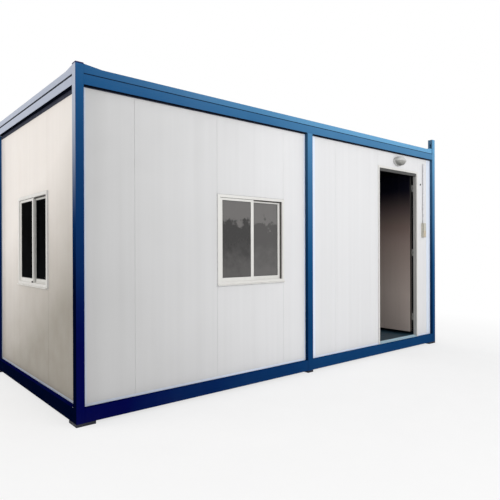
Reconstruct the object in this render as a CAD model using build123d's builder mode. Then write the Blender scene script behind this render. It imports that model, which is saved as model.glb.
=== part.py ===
from build123d import *
from math import cos, hypot, radians, sin, tan
import os

# Prefabricated bunkhouse: a blue steel frame with sandwich panel walls, two
# sliding windows and one inward opening door. Sizes are in millimetres.
# The origin is on the ground under the middle of the footprint, +X runs along
# the front from the left end to the right end, and +Y runs from front to rear.

# Overall frame
length = 5046
width = 2320
foot_height = 22
base_rail_height = 109
wall_height = 2409
top_rail_height = 138
post_rise = 22
head_height = 120

# Frame sections
corner_post_side = 64
mid_post_width = 76
mid_post_shift = 9
post_wall = 4
rail_wall = 5
rail_setback = 2
base_bottom_flange = 60
carrying_flange = 110
top_lip = 45
groove_height = 6
groove_depth = 8
groove_below_top = 56
upper_strip_setback = 5
gusset_length = 150
gusset_rise = 17
head_wall = 6
slot_width = 26
slot_height = 56
slot_above_post = 38
pad_side = 150

# Floor, ceiling and roof
joist_width = 50
joist_height = 80
joist_wall = 3
joist_count = 8
deck_thickness = 18
ceiling_thickness = 30
ceiling_edge_gap = 3
purlin_width = 40
purlin_height = 40
purlin_wall = 3
purlin_count = 6
purlin_lift = 2
sheet_thickness = 1.5
sheet_edge_gap = 4
rib_pitch = 205
rib_top = 36
rib_foot = 66
rib_height = 30
rib_flank = 2.5

# Wall panels
recess = 42
panel_thickness = 50
tongue_length = 12
tongue_thickness = 16
fit_gap = 0.3
seam_chamfer = 2
corner_panel_width = 432
window_side_panel_width = 320
near_post_panel_width = 420
door_side_panel_width = 314
window_width = 838
window_height = 840
window_sill_height = 976
end_window_width = 842
rear_panels_per_bay = 3
end_panels = 3
trim_width = 20
cover_strip_width = 90
trim_thickness = 1.5

# Sliding windows
window_proud = 12
window_depth = 66
window_face = 26
window_sill_face = 34
stile_width = 34
sash_top_rail = 24
sash_bottom_rail = 36
sash_thickness = 18
sash_bevel = 3
sash_inset = 10
track_gap = 4
track_fin = 10
glass_thickness = 5
glass_bite = 9
drip_depth = 14
drip_height = 10

# Door
door_module_width = 888
over_door_height = 194
door_face = 26
door_rebate = 14
door_stop_depth = 56
door_frame_proud = 6
casing_width = 40
casing_thickness = 4
leaf_thickness = 40
leaf_gap = 5
leaf_floor_gap = 40
leaf_rim = 42
leaf_rim_rise = 1.5
threshold_nose = 8
threshold_lip = 6
hinge_radius = 6
hinge_offset = 11
hinge_pin_radius = 3
hinge_pin_gap = 0.05
hinge_part_length = 30
hinge_part_gap = 0.5
hinge_plate = 3
hinge_plate_width = 32
hinge_margin = 200
handle_height = 1050
handle_backset = 62
handle_reach = 50
handle_length = 115
handle_radius = 9
handle_bend = 16
handle_sides = 8
handle_plate_width = 40
handle_plate_height = 210
handle_plate_thickness = 6

# Lamp, conduit and power box
lamp_width = 196
lamp_height = 124
lamp_base_depth = 24
lamp_lens_depth = 56
lamp_rim = 9
lamp_edge = 2
lamp_rib = 5
lamp_rib_rise = 3
lamp_rib_spacing = 42
lamp_end_radius = 42
lamp_lens_round = 28
lamp_round_steps = 3
lamp_hood_gap = 0.5
lamp_hood_thickness = 3
lamp_above_door = 90
lamp_shift = 21
conduit_radius = 10
conduit_gap = 2
conduit_above_lamp = 20
box_width = 68
box_height = 194
box_depth = 30
box_bottom = 1465
box_to_post = 150
box_lid = 4
box_lid_height = 96

# Sizes that follow from the ones above
base_top = foot_height + base_rail_height
wall_top = base_top + wall_height
frame_top = wall_top + top_rail_height
post_top = frame_top + post_rise
floor_top = base_top + deck_thickness
panel_inner = recess + panel_thickness
panel_middle = recess + panel_thickness / 2
mid_post_start = length / 2 - mid_post_shift - mid_post_width / 2
mid_post_end = mid_post_start + mid_post_width
x_left = -length / 2
y_front = -width / 2

# The plain panel of each front bay takes up what the other panels leave
front_seam_1 = corner_post_side + corner_panel_width
front_seam_3 = mid_post_start - window_side_panel_width
front_seam_2 = front_seam_3 - window_width
front_seam_4 = mid_post_end + near_post_panel_width
door_end = length - corner_post_side - door_side_panel_width
door_start = door_end - door_module_width
door_head_height = wall_top - over_door_height
window_top = window_sill_height + window_height
end_window_start = (width - end_window_width) / 2
end_window_end = end_window_start + end_window_width
lamp_offset = (door_start + door_end) / 2 - lamp_shift
lamp_center_height = door_head_height + lamp_above_door
conduit_top = lamp_center_height + conduit_above_lamp
box_start = length - corner_post_side - box_to_post - box_width

os.makedirs("parts", exist_ok=True)


def save(part, label):
    part.label = label
    export_step(part, f"parts/{label}.step")


# Each wall has its own frame: along it from left to right as seen from
# outside, inwards from the outer face of the steel, and up.
wall_lengths = {"front": length, "right": width, "rear": length, "left": width}
wall_corners = {
    "front": (x_left, y_front),
    "right": (-x_left, y_front),
    "rear": (-x_left, -y_front),
    "left": (x_left, -y_front),
}
wall_directions = {"front": (1, 0, 0), "right": (0, 1, 0), "rear": (-1, 0, 0), "left": (0, -1, 0)}


def plan_plane(wall, height):
    """Horizontal plane: x along the wall, y inwards."""
    corner_x, corner_y = wall_corners[wall]
    return Plane(origin=(corner_x, corner_y, height), x_dir=wall_directions[wall], z_dir=(0, 0, 1))


def face_plane(wall, depth):
    """Upright plane at a depth behind the outer face: x along the wall, y up, normal outwards."""
    plan = plan_plane(wall, 0)
    inwards = plan.y_dir
    return Plane(origin=plan.origin + inwards * depth, x_dir=plan.x_dir, z_dir=inwards * -1)


def section_plane(wall, along):
    """Upright plane across the wall at a station: x inwards, y up, normal along the wall."""
    plan = plan_plane(wall, 0)
    return Plane(origin=plan.origin + plan.x_dir * along, x_dir=plan.y_dir, z_dir=plan.x_dir)


# Corner posts: square tubes with a closed cap, standing on the foot pads
corner_names = {
    "front": "corner_post_front_left",
    "right": "corner_post_front_right",
    "rear": "corner_post_rear_right",
    "left": "corner_post_rear_left",
}
post_center = (corner_post_side / 2, corner_post_side / 2)
for wall, label in corner_names.items():
    with BuildPart() as corner_post:
        with BuildSketch(plan_plane(wall, foot_height)):
            with Locations(post_center):
                Rectangle(corner_post_side, corner_post_side)
        extrude(amount=post_top - foot_height)
        with BuildSketch(plan_plane(wall, foot_height)):
            with Locations(post_center):
                Rectangle(corner_post_side - 2 * post_wall, corner_post_side - 2 * post_wall)
        extrude(amount=post_top - foot_height - post_wall, mode=Mode.SUBTRACT)
        chamfer(corner_post.faces().sort_by(Axis.Z)[-1].edges(), post_wall / 2)
    save(corner_post.part, label)

# Lifting heads: short tubes on the two right posts with a slot through them
slot_middle = post_top + slot_above_post
with BuildPart() as lifting_heads:
    for wall in ("right", "rear"):
        with BuildSketch(plan_plane(wall, post_top)):
            with Locations(post_center):
                Rectangle(corner_post_side, corner_post_side)
        extrude(amount=head_height)
        with BuildSketch(plan_plane(wall, post_top)):
            with Locations(post_center):
                Rectangle(corner_post_side - 2 * head_wall, corner_post_side - 2 * head_wall)
        extrude(amount=head_height - head_wall, mode=Mode.SUBTRACT)
    with BuildSketch(section_plane("front", length)):
        with Locations((corner_post_side / 2, slot_middle), (width - corner_post_side / 2, slot_middle)):
            SlotOverall(slot_height, slot_width, rotation=90)
    extrude(amount=-corner_post_side, mode=Mode.SUBTRACT)
save(lifting_heads.part, "lifting_heads")

# Middle posts, front and rear, between the two bays
with BuildPart() as mid_posts:
    for wall, start in (("front", mid_post_start), ("rear", length - mid_post_end)):
        with BuildSketch(plan_plane(wall, foot_height)):
            with Locations((start + mid_post_width / 2, panel_inner / 2)):
                Rectangle(mid_post_width, panel_inner)
                Rectangle(mid_post_width - 2 * post_wall, panel_inner - 2 * post_wall, mode=Mode.SUBTRACT)
        extrude(amount=wall_top - foot_height)
save(mid_posts.part, "mid_posts")

# Base rails: folded channels, open to the inside, that carry walls and deck
web = rail_setback + rail_wall


def base_rail_section(wall, start):
    """Section of a base rail: an outer web, a wide top flange and a bottom flange."""
    with BuildSketch(section_plane(wall, start)) as section:
        with BuildLine():
            Polyline(
                (base_bottom_flange, foot_height),
                (rail_setback, foot_height),
                (rail_setback, base_top),
                (carrying_flange, base_top),
                (carrying_flange, base_top - rail_wall),
                (web, base_top - rail_wall),
                (web, foot_height + rail_wall),
                (base_bottom_flange, foot_height + rail_wall),
                close=True,
            )
        make_face()
    return section.sketch


front_bays = ((corner_post_side, mid_post_start), (mid_post_end, length - corner_post_side))
rear_bays = tuple((length - end, length - start) for start, end in reversed(front_bays))
with BuildPart() as base_rails_long:
    for start, end in front_bays:
        extrude(base_rail_section("front", start), amount=end - start)
    for start, end in rear_bays:
        extrude(base_rail_section("rear", start), amount=end - start)
save(base_rails_long.part, "base_rails_long")

# The end rails keep their web up to the posts, and their flanges stop at the long rails
flange_notch = carrying_flange + fit_gap
with BuildPart() as base_rails_short:
    for wall in ("left", "right"):
        extrude(base_rail_section(wall, corner_post_side), amount=width - 2 * corner_post_side)
        with BuildSketch(plan_plane(wall, 0)):
            with Locations((0, 0), (width, 0)):
                Rectangle(2 * flange_notch, 2 * flange_notch)
            with Locations((width / 2, web / 2)):
                Rectangle(width, web, mode=Mode.SUBTRACT)
        extrude(amount=base_top, mode=Mode.SUBTRACT)
save(base_rails_short.part, "base_rails_short")

# Top rails: a lower band, a groove and an upper strip folded from one sheet
groove_middle = frame_top - groove_below_top
groove_low = groove_middle - groove_height / 2
groove_high = groove_middle + groove_height / 2
upper_face = rail_setback + upper_strip_setback
groove_face = rail_setback + groove_depth


def top_rail_section(wall, start):
    """Section of a top rail."""
    with BuildSketch(section_plane(wall, start)) as section:
        with BuildLine():
            Polyline(
                (carrying_flange, wall_top),
                (rail_setback, wall_top),
                (rail_setback, groove_low),
                (groove_face, groove_middle),
                (upper_face, groove_high),
                (upper_face, frame_top),
                (top_lip, frame_top),
                (top_lip, frame_top - rail_wall),
                (upper_face + rail_wall, frame_top - rail_wall),
                (upper_face + rail_wall, groove_high),
                (groove_face + rail_wall, groove_middle),
                (web, groove_low),
                (web, wall_top + rail_wall),
                (carrying_flange, wall_top + rail_wall),
                close=True,
            )
        make_face()
    return section.sketch


def gusset_outline(wall, start, end):
    """The two wedge gussets of a top rail, against the posts at its ends."""
    with BuildSketch(face_plane(wall, upper_face + rail_wall)) as outline:
        for foot, direction in ((start, 1), (end, -1)):
            with BuildLine():
                Polyline(
                    (foot, frame_top),
                    (foot, frame_top + gusset_rise),
                    (foot + direction * gusset_length, frame_top),
                    close=True,
                )
            make_face()
    return outline.sketch


with BuildPart() as top_rails_long:
    for wall in ("front", "rear"):
        extrude(top_rail_section(wall, corner_post_side), amount=length - 2 * corner_post_side)
        extrude(gusset_outline(wall, corner_post_side, length - corner_post_side), amount=rail_wall)
save(top_rails_long.part, "top_rails_long")

with BuildPart() as top_rails_short:
    for wall in ("left", "right"):
        extrude(top_rail_section(wall, corner_post_side), amount=width - 2 * corner_post_side)
        extrude(gusset_outline(wall, corner_post_side, width - corner_post_side), amount=rail_wall)
        with BuildSketch(plan_plane(wall, wall_top)):
            with Locations((0, 0), (width, 0)):
                Rectangle(2 * flange_notch, 2 * flange_notch)
            with Locations((width / 2, (groove_face + rail_wall) / 2)):
                Rectangle(width, groove_face + rail_wall, mode=Mode.SUBTRACT)
        extrude(amount=top_rail_height + gusset_rise, mode=Mode.SUBTRACT)
save(top_rails_short.part, "top_rails_short")

# Foot pads under the posts
with BuildPart() as foot_pads:
    for wall in wall_corners:
        with BuildSketch(plan_plane(wall, 0)):
            with Locations((pad_side / 2, pad_side / 2)):
                Rectangle(pad_side, pad_side)
        extrude(amount=foot_height)
    for wall, start in (("front", mid_post_start), ("rear", length - mid_post_end)):
        with BuildSketch(plan_plane(wall, 0)):
            with Locations((start + mid_post_width / 2, pad_side / 2)):
                Rectangle(mid_post_width, pad_side)
        extrude(amount=foot_height)
save(foot_pads.part, "foot_pads")

# Floor joists: tubes from base rail to base rail, under the deck
joist_top = base_top - rail_wall
joist_span = width - 2 * web
joist_room = length - 2 * (carrying_flange + joist_width)
with BuildPart() as floor_joists:
    with BuildSketch(section_plane("left", web)):
        for index in range(joist_count):
            station = carrying_flange + joist_width + joist_room * index / (joist_count - 1)
            with Locations((station, joist_top - joist_height / 2)):
                Rectangle(joist_width, joist_height)
                Rectangle(joist_width - 2 * joist_wall, joist_height - 2 * joist_wall, mode=Mode.SUBTRACT)
    extrude(amount=joist_span)
save(floor_joists.part, "floor_joists")

# Floor deck, inside the walls, on the flanges of the base rails
with BuildPart() as floor_deck:
    with BuildSketch(Plane.XY.offset(base_top)):
        Rectangle(length - 2 * panel_inner - 2 * fit_gap, width - 2 * panel_inner - 2 * fit_gap)
    extrude(amount=deck_thickness)
save(floor_deck.part, "floor_deck")

# Ceiling panel on the flanges of the top rails
ceiling_edge = groove_face + rail_wall + ceiling_edge_gap
ceiling_bottom = wall_top + rail_wall
post_notch = 2 * corner_post_side + 2 * fit_gap
with BuildPart() as ceiling_panel:
    with BuildSketch(Plane.XY.offset(ceiling_bottom)):
        Rectangle(length - 2 * ceiling_edge, width - 2 * ceiling_edge)
        with Locations(*wall_corners.values()):
            Rectangle(post_notch, post_notch, mode=Mode.SUBTRACT)
    extrude(amount=ceiling_thickness)
save(ceiling_panel.part, "ceiling_panel")

# Roof purlins from long rail to long rail
purlin_bottom = ceiling_bottom + ceiling_thickness + purlin_lift
purlin_room = length - 2 * (carrying_flange + purlin_width)
with BuildPart() as roof_purlins:
    with BuildSketch(section_plane("left", web)):
        for index in range(purlin_count):
            station = carrying_flange + purlin_width + purlin_room * index / (purlin_count - 1)
            with Locations((station, purlin_bottom + purlin_height / 2)):
                Rectangle(purlin_width, purlin_height)
                Rectangle(purlin_width - 2 * purlin_wall, purlin_height - 2 * purlin_wall, mode=Mode.SUBTRACT)
    extrude(amount=width - 2 * web)
save(roof_purlins.part, "roof_purlins")

# Roof sheet: trapezoidal ribs along the building, tucked under the rail lips
sheet_bottom = purlin_bottom + purlin_height
sheet_edge = groove_face + rail_wall + sheet_edge_gap
sheet_span = width - 2 * sheet_edge
rib_count = int((sheet_span - rib_foot) // rib_pitch) + 1
with BuildPart() as roof_sheet:
    with BuildSketch(section_plane("front", sheet_edge)):
        with Locations((width / 2, sheet_bottom + sheet_thickness / 2)):
            Rectangle(sheet_span, sheet_thickness)
        for index in range(rib_count):
            middle = width / 2 + (index - (rib_count - 1) / 2) * rib_pitch
            with BuildLine():
                Polyline(
                    (middle - rib_foot / 2, sheet_bottom),
                    (middle + rib_foot / 2, sheet_bottom),
                    (middle + rib_top / 2, sheet_bottom + rib_height),
                    (middle - rib_top / 2, sheet_bottom + rib_height),
                    close=True,
                )
            make_face()
            with BuildLine():
                Polyline(
                    (middle - rib_foot / 2 + rib_flank, sheet_bottom),
                    (middle + rib_foot / 2 - rib_flank, sheet_bottom),
                    (middle + rib_top / 2 - rib_flank, sheet_bottom + rib_height - sheet_thickness),
                    (middle - rib_top / 2 + rib_flank, sheet_bottom + rib_height - sheet_thickness),
                    close=True,
                )
            make_face(mode=Mode.SUBTRACT)
    extrude(amount=length - 2 * sheet_edge)
    with BuildSketch(Plane.XY.offset(sheet_bottom)):
        with Locations(*wall_corners.values()):
            Rectangle(post_notch, post_notch)
    extrude(amount=rib_height, mode=Mode.SUBTRACT)
save(roof_sheet.part, "roof_sheet")


# Wall panels: sandwich boards joined by tongues and grooves, mitred at the corners
def edge_points(wall, station, kind, side):
    """Edge of a panel in plan, from outer to inner face. side is 1 at a left edge, -1 at a right one."""
    face = station + side * fit_gap / 2
    if kind == "flat":
        return [(station, recess), (station, panel_inner)]
    if kind == "mitre":
        corner = 0 if side == 1 else wall_lengths[wall]
        inner_corner = corner + side * panel_inner
        return [(station, recess), (station, corner_post_side), (inner_corner, panel_inner)]
    if kind == "tongue":
        tip = station - side * tongue_length
        half = tongue_thickness / 2
    else:
        tip = station + side * (tongue_length + fit_gap)
        half = tongue_thickness / 2 + fit_gap
    return [
        (face + side * seam_chamfer, recess),
        (face, recess + seam_chamfer),
        (face, panel_middle - half),
        (tip, panel_middle - half),
        (tip, panel_middle + half),
        (face, panel_middle + half),
        (face, panel_inner),
    ]


def panel_section(wall, start, end, left_kind, right_kind, bottom=base_top):
    """Plan section of one panel, ready to be extruded up."""
    left_points = edge_points(wall, start, left_kind, 1)
    right_points = edge_points(wall, end, right_kind, -1)
    with BuildSketch(plan_plane(wall, bottom)) as section:
        with BuildLine():
            Polyline(*left_points, *reversed(right_points), close=True)
        make_face()
    return section.sketch


whole_panels = {
    "front_panel_corner_left": ("front", corner_post_side, front_seam_1, "mitre", "groove"),
    "front_panel_plain_left": ("front", front_seam_1, front_seam_2, "tongue", "groove"),
    "front_panel_mid_left": ("front", front_seam_3, mid_post_start, "groove", "flat"),
    "front_panel_mid_right": ("front", mid_post_end, front_seam_4, "flat", "groove"),
    "front_panel_plain_right": ("front", front_seam_4, door_start, "tongue", "groove"),
    "front_panel_corner_right": ("front", door_end, length - corner_post_side, "groove", "mitre"),
    "left_panel_rear": ("left", corner_post_side, end_window_start, "mitre", "groove"),
    "left_panel_front": ("left", end_window_end, width - corner_post_side, "groove", "mitre"),
}
for label, (wall, start, end, left_kind, right_kind) in whole_panels.items():
    with BuildPart() as panel:
        extrude(panel_section(wall, start, end, left_kind, right_kind), amount=wall_height)
    save(panel.part, label)

# Panels below and above each window, and the one over the door
window_bays = {
    "front": (front_seam_2, front_seam_3),
    "left": (end_window_start, end_window_end),
}
for wall, (start, end) in window_bays.items():
    below = panel_section(wall, start, end, "tongue", "tongue")
    above = panel_section(wall, start, end, "tongue", "tongue", window_top)
    with BuildPart() as window_infill:
        extrude(below, amount=window_sill_height - base_top)
        extrude(above, amount=wall_top - window_top)
    save(window_infill.part, f"{wall}_window_infill")

over_door_section = panel_section("front", door_start, door_end, "tongue", "tongue", door_head_height)
with BuildPart() as front_panel_over_door:
    extrude(over_door_section, amount=over_door_height)
save(front_panel_over_door.part, "front_panel_over_door")


def plain_run(wall, start, end, count, first_kind, last_kind):
    """Sections of a run of equal panels, with tongued panels between grooved ones."""
    pitch = (end - start) / count
    sections = []
    for index in range(count):
        tongued = index % 2 == 1
        left_kind = first_kind if index == 0 else ("tongue" if tongued else "groove")
        right_kind = last_kind if index == count - 1 else ("tongue" if tongued else "groove")
        panel_start = start + index * pitch
        sections.append(panel_section(wall, panel_start, panel_start + pitch, left_kind, right_kind))
    return sections


right_end = width - corner_post_side
with BuildPart() as right_panels:
    for section in plain_run("right", corner_post_side, right_end, end_panels, "mitre", "mitre"):
        extrude(section, amount=wall_height)
save(right_panels.part, "right_panels")

with BuildPart() as rear_panels:
    for (start, end), (first_kind, last_kind) in zip(rear_bays, (("mitre", "flat"), ("flat", "mitre"))):
        for section in plain_run("rear", start, end, rear_panels_per_bay, first_kind, last_kind):
            extrude(section, amount=wall_height)
save(rear_panels.part, "rear_panels")

def rectangle_between(left, right, bottom, top, mode=Mode.ADD):
    """Rectangle given by its sides, in the sketch that is being drawn."""
    with Locations(((left + right) / 2, (bottom + top) / 2)):
        Rectangle(right - left, top - bottom, mode=mode)


# Trims: thin strips that cover the panel edges beside the posts, wider by the
# door, and the panel feet along the base rails
post_strips = {
    "front": (
        (corner_post_side, trim_width),
        (mid_post_start, -trim_width),
        (mid_post_end, trim_width),
        (length - corner_post_side, -cover_strip_width),
    ),
    "right": ((corner_post_side, trim_width), (width - corner_post_side, -trim_width)),
    "rear": (
        (corner_post_side, trim_width),
        (length - mid_post_end, -trim_width),
        (length - mid_post_start, trim_width),
        (length - corner_post_side, -trim_width),
    ),
    "left": ((corner_post_side, trim_width), (width - corner_post_side, -trim_width)),
}
foot_strips = {
    "front": (front_bays[0], (mid_post_end, door_start), (door_end, length - corner_post_side)),
    "right": ((corner_post_side, width - corner_post_side),),
    "rear": rear_bays,
    "left": ((corner_post_side, width - corner_post_side),),
}
with BuildPart() as panel_trims:
    for wall in wall_corners:
        with BuildSketch(face_plane(wall, recess)):
            for foot, reach in post_strips[wall]:
                rectangle_between(min(foot, foot + reach), max(foot, foot + reach), base_top, wall_top)
            for start, end in foot_strips[wall]:
                rectangle_between(start, end, base_top, base_top + trim_width)
        extrude(amount=trim_thickness)
save(panel_trims.part, "panel_trims")


# Sliding windows: an outer frame with two tracks, two sashes and their panes
def ring_sketch(plane, outer, inner):
    """Rectangular ring. outer and inner are left, right, bottom and top."""
    with BuildSketch(plane) as ring:
        rectangle_between(*outer)
        rectangle_between(*inner, mode=Mode.SUBTRACT)
    return ring.sketch


window_front_depth = recess - window_proud
window_back_depth = window_front_depth + window_depth
front_track = window_front_depth + sash_inset
rear_track = front_track + sash_thickness + track_gap
for wall, (start, end) in window_bays.items():
    outer = (start + fit_gap, end - fit_gap, window_sill_height + fit_gap, window_top - fit_gap)
    sight = (
        outer[0] + window_face,
        outer[1] - window_face,
        outer[2] + window_sill_face,
        outer[3] - window_face,
    )
    fin_sight = (sight[0] + track_fin, sight[1] - track_fin, sight[2] + track_fin, sight[3] - track_fin)
    fin_back = rear_track - fit_gap
    with BuildPart() as window_frame:
        extrude(ring_sketch(face_plane(wall, window_back_depth), outer, sight), amount=window_depth)
        extrude(ring_sketch(face_plane(wall, fin_back), sight, fin_sight), amount=track_gap - 2 * fit_gap)
        with BuildSketch(section_plane(wall, outer[0])):
            with BuildLine():
                Polyline(
                    (window_front_depth, outer[2]),
                    (window_front_depth - drip_depth, outer[2]),
                    (window_front_depth - drip_depth, outer[2] + drip_height / 2),
                    (window_front_depth, outer[2] + drip_height),
                    close=True,
                )
            make_face()
        extrude(amount=outer[1] - outer[0])
    save(window_frame.part, f"{wall}_window_frame")

    sash_width = (sight[1] - sight[0] + stile_width) / 2
    sash_places = (
        (sight[0] + fit_gap, sight[0] + sash_width, front_track),
        (sight[1] - sash_width, sight[1] - fit_gap, rear_track),
    )
    sash_bottom = sight[2] + fit_gap
    sash_top = sight[3] - fit_gap
    wall_face = face_plane(wall, 0)
    outward = Axis(wall_face.origin, wall_face.z_dir)
    with BuildPart() as window_sashes:
        for sash_left, sash_right, depth in sash_places:
            sash_outer = (sash_left, sash_right, sash_bottom, sash_top)
            pane = (
                sash_left + stile_width,
                sash_right - stile_width,
                sash_bottom + sash_bottom_rail,
                sash_top - sash_top_rail,
            )
            bite = glass_bite + fit_gap
            channel = (pane[0] - bite, pane[1] + bite, pane[2] - bite, pane[3] + bite)
            sash_ring = ring_sketch(face_plane(wall, depth + sash_thickness), sash_outer, pane)
            extrude(sash_ring, amount=sash_thickness)
            sash_faces = window_sashes.faces(Select.LAST).sort_by(outward)
            sight_edges = sash_faces[0].inner_wires().edges() + sash_faces[-1].inner_wires().edges()
            chamfer(sight_edges, sash_bevel)
            channel_width = glass_thickness + 2 * fit_gap
            channel_back = depth + (sash_thickness + channel_width) / 2
            with BuildSketch(face_plane(wall, channel_back)):
                rectangle_between(*channel)
            extrude(amount=channel_width, mode=Mode.SUBTRACT)
    save(window_sashes.part, f"{wall}_window_sashes")

    with BuildPart() as window_glass:
        for sash_left, sash_right, depth in sash_places:
            with BuildSketch(face_plane(wall, depth + (sash_thickness + glass_thickness) / 2)):
                rectangle_between(
                    sash_left + stile_width - glass_bite,
                    sash_right - stile_width + glass_bite,
                    sash_bottom + sash_bottom_rail - glass_bite,
                    sash_top - sash_top_rail + glass_bite,
                )
            extrude(amount=glass_thickness)
    save(window_glass.part, f"{wall}_window_glass")

# Door frame: a stop in front, a rebate behind it and a casing on the inside
frame_front = recess - door_frame_proud
rebate_face = door_face - door_rebate
frame_sides = (door_start + fit_gap, door_end - fit_gap, base_top, door_head_height - fit_gap)


def door_ring(plane, face, spread=0):
    """Three sides of the door frame: outer edge moved out by spread, opening inset by face."""
    left, right, bottom, top = frame_sides
    with BuildSketch(plane) as ring:
        rectangle_between(left - spread, right + spread, bottom, top + spread)
        rectangle_between(left + face, right - face, bottom, top - face, mode=Mode.SUBTRACT)
    return ring.sketch


casing_spread = casing_width - rebate_face
casing_face = panel_inner + casing_thickness
with BuildPart() as door_frame:
    extrude(door_ring(face_plane("front", door_stop_depth), door_face), amount=door_stop_depth - frame_front)
    extrude(door_ring(face_plane("front", panel_inner), rebate_face), amount=panel_inner - door_stop_depth)
    extrude(door_ring(face_plane("front", casing_face), rebate_face, casing_spread), amount=casing_thickness)
    with BuildSketch(face_plane("front", casing_face)):
        rectangle_between(door_start - casing_width, door_end + casing_width, base_top, floor_top)
    extrude(amount=casing_thickness, mode=Mode.SUBTRACT)
save(door_frame.part, "door_frame")

# Threshold: a nosing in front that ramps up to the deck
with BuildPart() as door_threshold:
    with BuildSketch(section_plane("front", frame_sides[0] + rebate_face + fit_gap)):
        with BuildLine():
            Polyline(
                (recess - threshold_nose, base_top),
                (recess - threshold_nose, base_top + threshold_lip),
                (door_stop_depth, base_top + threshold_lip),
                (panel_inner, floor_top),
                (panel_inner, base_top),
                close=True,
            )
        make_face()
    extrude(amount=frame_sides[1] - frame_sides[0] - 2 * rebate_face - 2 * fit_gap)
    with BuildSketch(plan_plane("front", base_top)):
        rectangle_between(frame_sides[0], frame_sides[0] + door_face + fit_gap, 0, door_stop_depth + fit_gap)
        rectangle_between(frame_sides[1] - door_face - fit_gap, frame_sides[1], 0, door_stop_depth + fit_gap)
    extrude(amount=deck_thickness, mode=Mode.SUBTRACT)
save(door_threshold.part, "door_threshold")

# Door leaf, open at a right angle to the front wall. Along it means away from
# the hinge axis, and across it means from its outer face towards its inner one.
leaf_hinge_edge = leaf_gap / 2
leaf_width = frame_sides[1] - frame_sides[0] - 2 * rebate_face - 2 * leaf_gap
leaf_free_edge = leaf_hinge_edge + leaf_width
leaf_bottom = floor_top + leaf_floor_gap
leaf_top = frame_sides[3] - rebate_face - leaf_gap
leaf_inner = -hinge_offset
leaf_outer = leaf_inner - leaf_thickness
hinge_along_front = frame_sides[1] - rebate_face - leaf_hinge_edge
hinge_depth = door_stop_depth + leaf_gap + leaf_thickness + hinge_offset
hinge_x = x_left + hinge_along_front
hinge_y = y_front + hinge_depth


def leaf_face_plane(across):
    """Upright plane in the open leaf: x away from the hinge, y up, normal to the inner side."""
    return Plane(origin=(hinge_x + across, hinge_y, 0), x_dir=(0, 1, 0), z_dir=(1, 0, 0))


leaf_edges = (leaf_hinge_edge, leaf_free_edge, leaf_bottom, leaf_top)
leaf_field = (
    leaf_hinge_edge + leaf_rim,
    leaf_free_edge - leaf_rim,
    leaf_bottom + leaf_rim,
    leaf_top - leaf_rim,
)
with BuildPart() as door_leaf:
    with BuildSketch(leaf_face_plane(leaf_outer)):
        rectangle_between(*leaf_edges)
    extrude(amount=leaf_thickness)
    with BuildSketch(leaf_face_plane(leaf_outer), leaf_face_plane(leaf_inner - leaf_rim_rise)):
        rectangle_between(*leaf_field)
    extrude(amount=leaf_rim_rise, mode=Mode.SUBTRACT)
save(door_leaf.part, "door_leaf")

# Hinges: the halves on the frame carry the pins, the halves on the leaf turn round them
hinge_span = 3 * hinge_part_length
hinge_heights = (leaf_bottom + hinge_margin, (leaf_bottom + leaf_top) / 2, leaf_top - hinge_margin)


def hinge_strap(surface_plane, rise):
    """L-shaped strap in plan: a foot on the surface and a leg up to the knuckle."""
    with BuildSketch(surface_plane) as strap:
        rectangle_between(hinge_plate, hinge_plate + hinge_plate_width, 0, hinge_plate)
        rectangle_between(hinge_plate, 2 * hinge_plate, 0, rise)
    return strap.sketch


with BuildPart() as frame_hinges:
    for height in hinge_heights:
        base = height - hinge_span / 2
        for part_base in (base, base + 2 * hinge_part_length + hinge_part_gap / 2):
            part_length = hinge_part_length - hinge_part_gap / 2
            with BuildSketch(Plane(origin=(hinge_x, hinge_y, part_base))):
                Circle(hinge_radius)
            extrude(amount=part_length)
            strap_plane = Plane(origin=(hinge_x, y_front + casing_face, part_base))
            extrude(hinge_strap(strap_plane, hinge_depth - casing_face), amount=part_length)
        with BuildSketch(Plane(origin=(hinge_x, hinge_y, base))):
            Circle(hinge_pin_radius)
        extrude(amount=hinge_span)
save(frame_hinges.part, "frame_hinges")

with BuildPart() as leaf_hinges:
    for height in hinge_heights:
        base = height - hinge_part_length / 2 + hinge_part_gap / 2
        part_length = hinge_part_length - hinge_part_gap
        knuckle_plane = Plane(origin=(hinge_x, hinge_y, base))
        strap_origin = (hinge_x + leaf_inner, hinge_y, base)
        strap_plane = Plane(origin=strap_origin, x_dir=(0, 1, 0), z_dir=(0, 0, -1))
        with BuildSketch(knuckle_plane):
            Circle(hinge_radius)
        extrude(amount=part_length)
        extrude(hinge_strap(strap_plane, hinge_offset), amount=-part_length)
        with BuildSketch(knuckle_plane):
            Circle(hinge_pin_radius + hinge_pin_gap)
        extrude(amount=part_length, mode=Mode.SUBTRACT)
save(leaf_hinges.part, "leaf_hinges")

# Door handles: a plate and a lever that bends off its neck, on each face of the leaf
lever_reach = handle_reach - handle_radius
handle_along = leaf_free_edge - handle_backset
with BuildPart() as door_handle:
    for face, out in ((leaf_outer, -1), (leaf_inner, 1)):
        plate_top = face + out * handle_plate_thickness
        with BuildSketch(leaf_face_plane(face)):
            with Locations((handle_along, handle_height)):
                RectangleRounded(handle_plate_width, handle_plate_height, handle_radius)
        extrude(amount=out * handle_plate_thickness)
        lever_origin = (hinge_x + face, hinge_y + handle_along, handle_height)
        with BuildLine(Plane(origin=lever_origin, x_dir=(out, 0, 0), z_dir=(0, 0, -out))):
            neck = Line((handle_plate_thickness, 0), (lever_reach - handle_bend, 0))
            elbow = TangentArc(neck @ 1, (lever_reach, handle_bend), tangent=neck % 1)
            Line(elbow @ 1, (lever_reach, handle_length))
        with BuildSketch(leaf_face_plane(plate_top)):
            with Locations((handle_along, handle_height)):
                RegularPolygon(handle_radius, handle_sides, rotation=180 / handle_sides)
        sweep()
save(door_handle.part, "door_handle")


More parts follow.
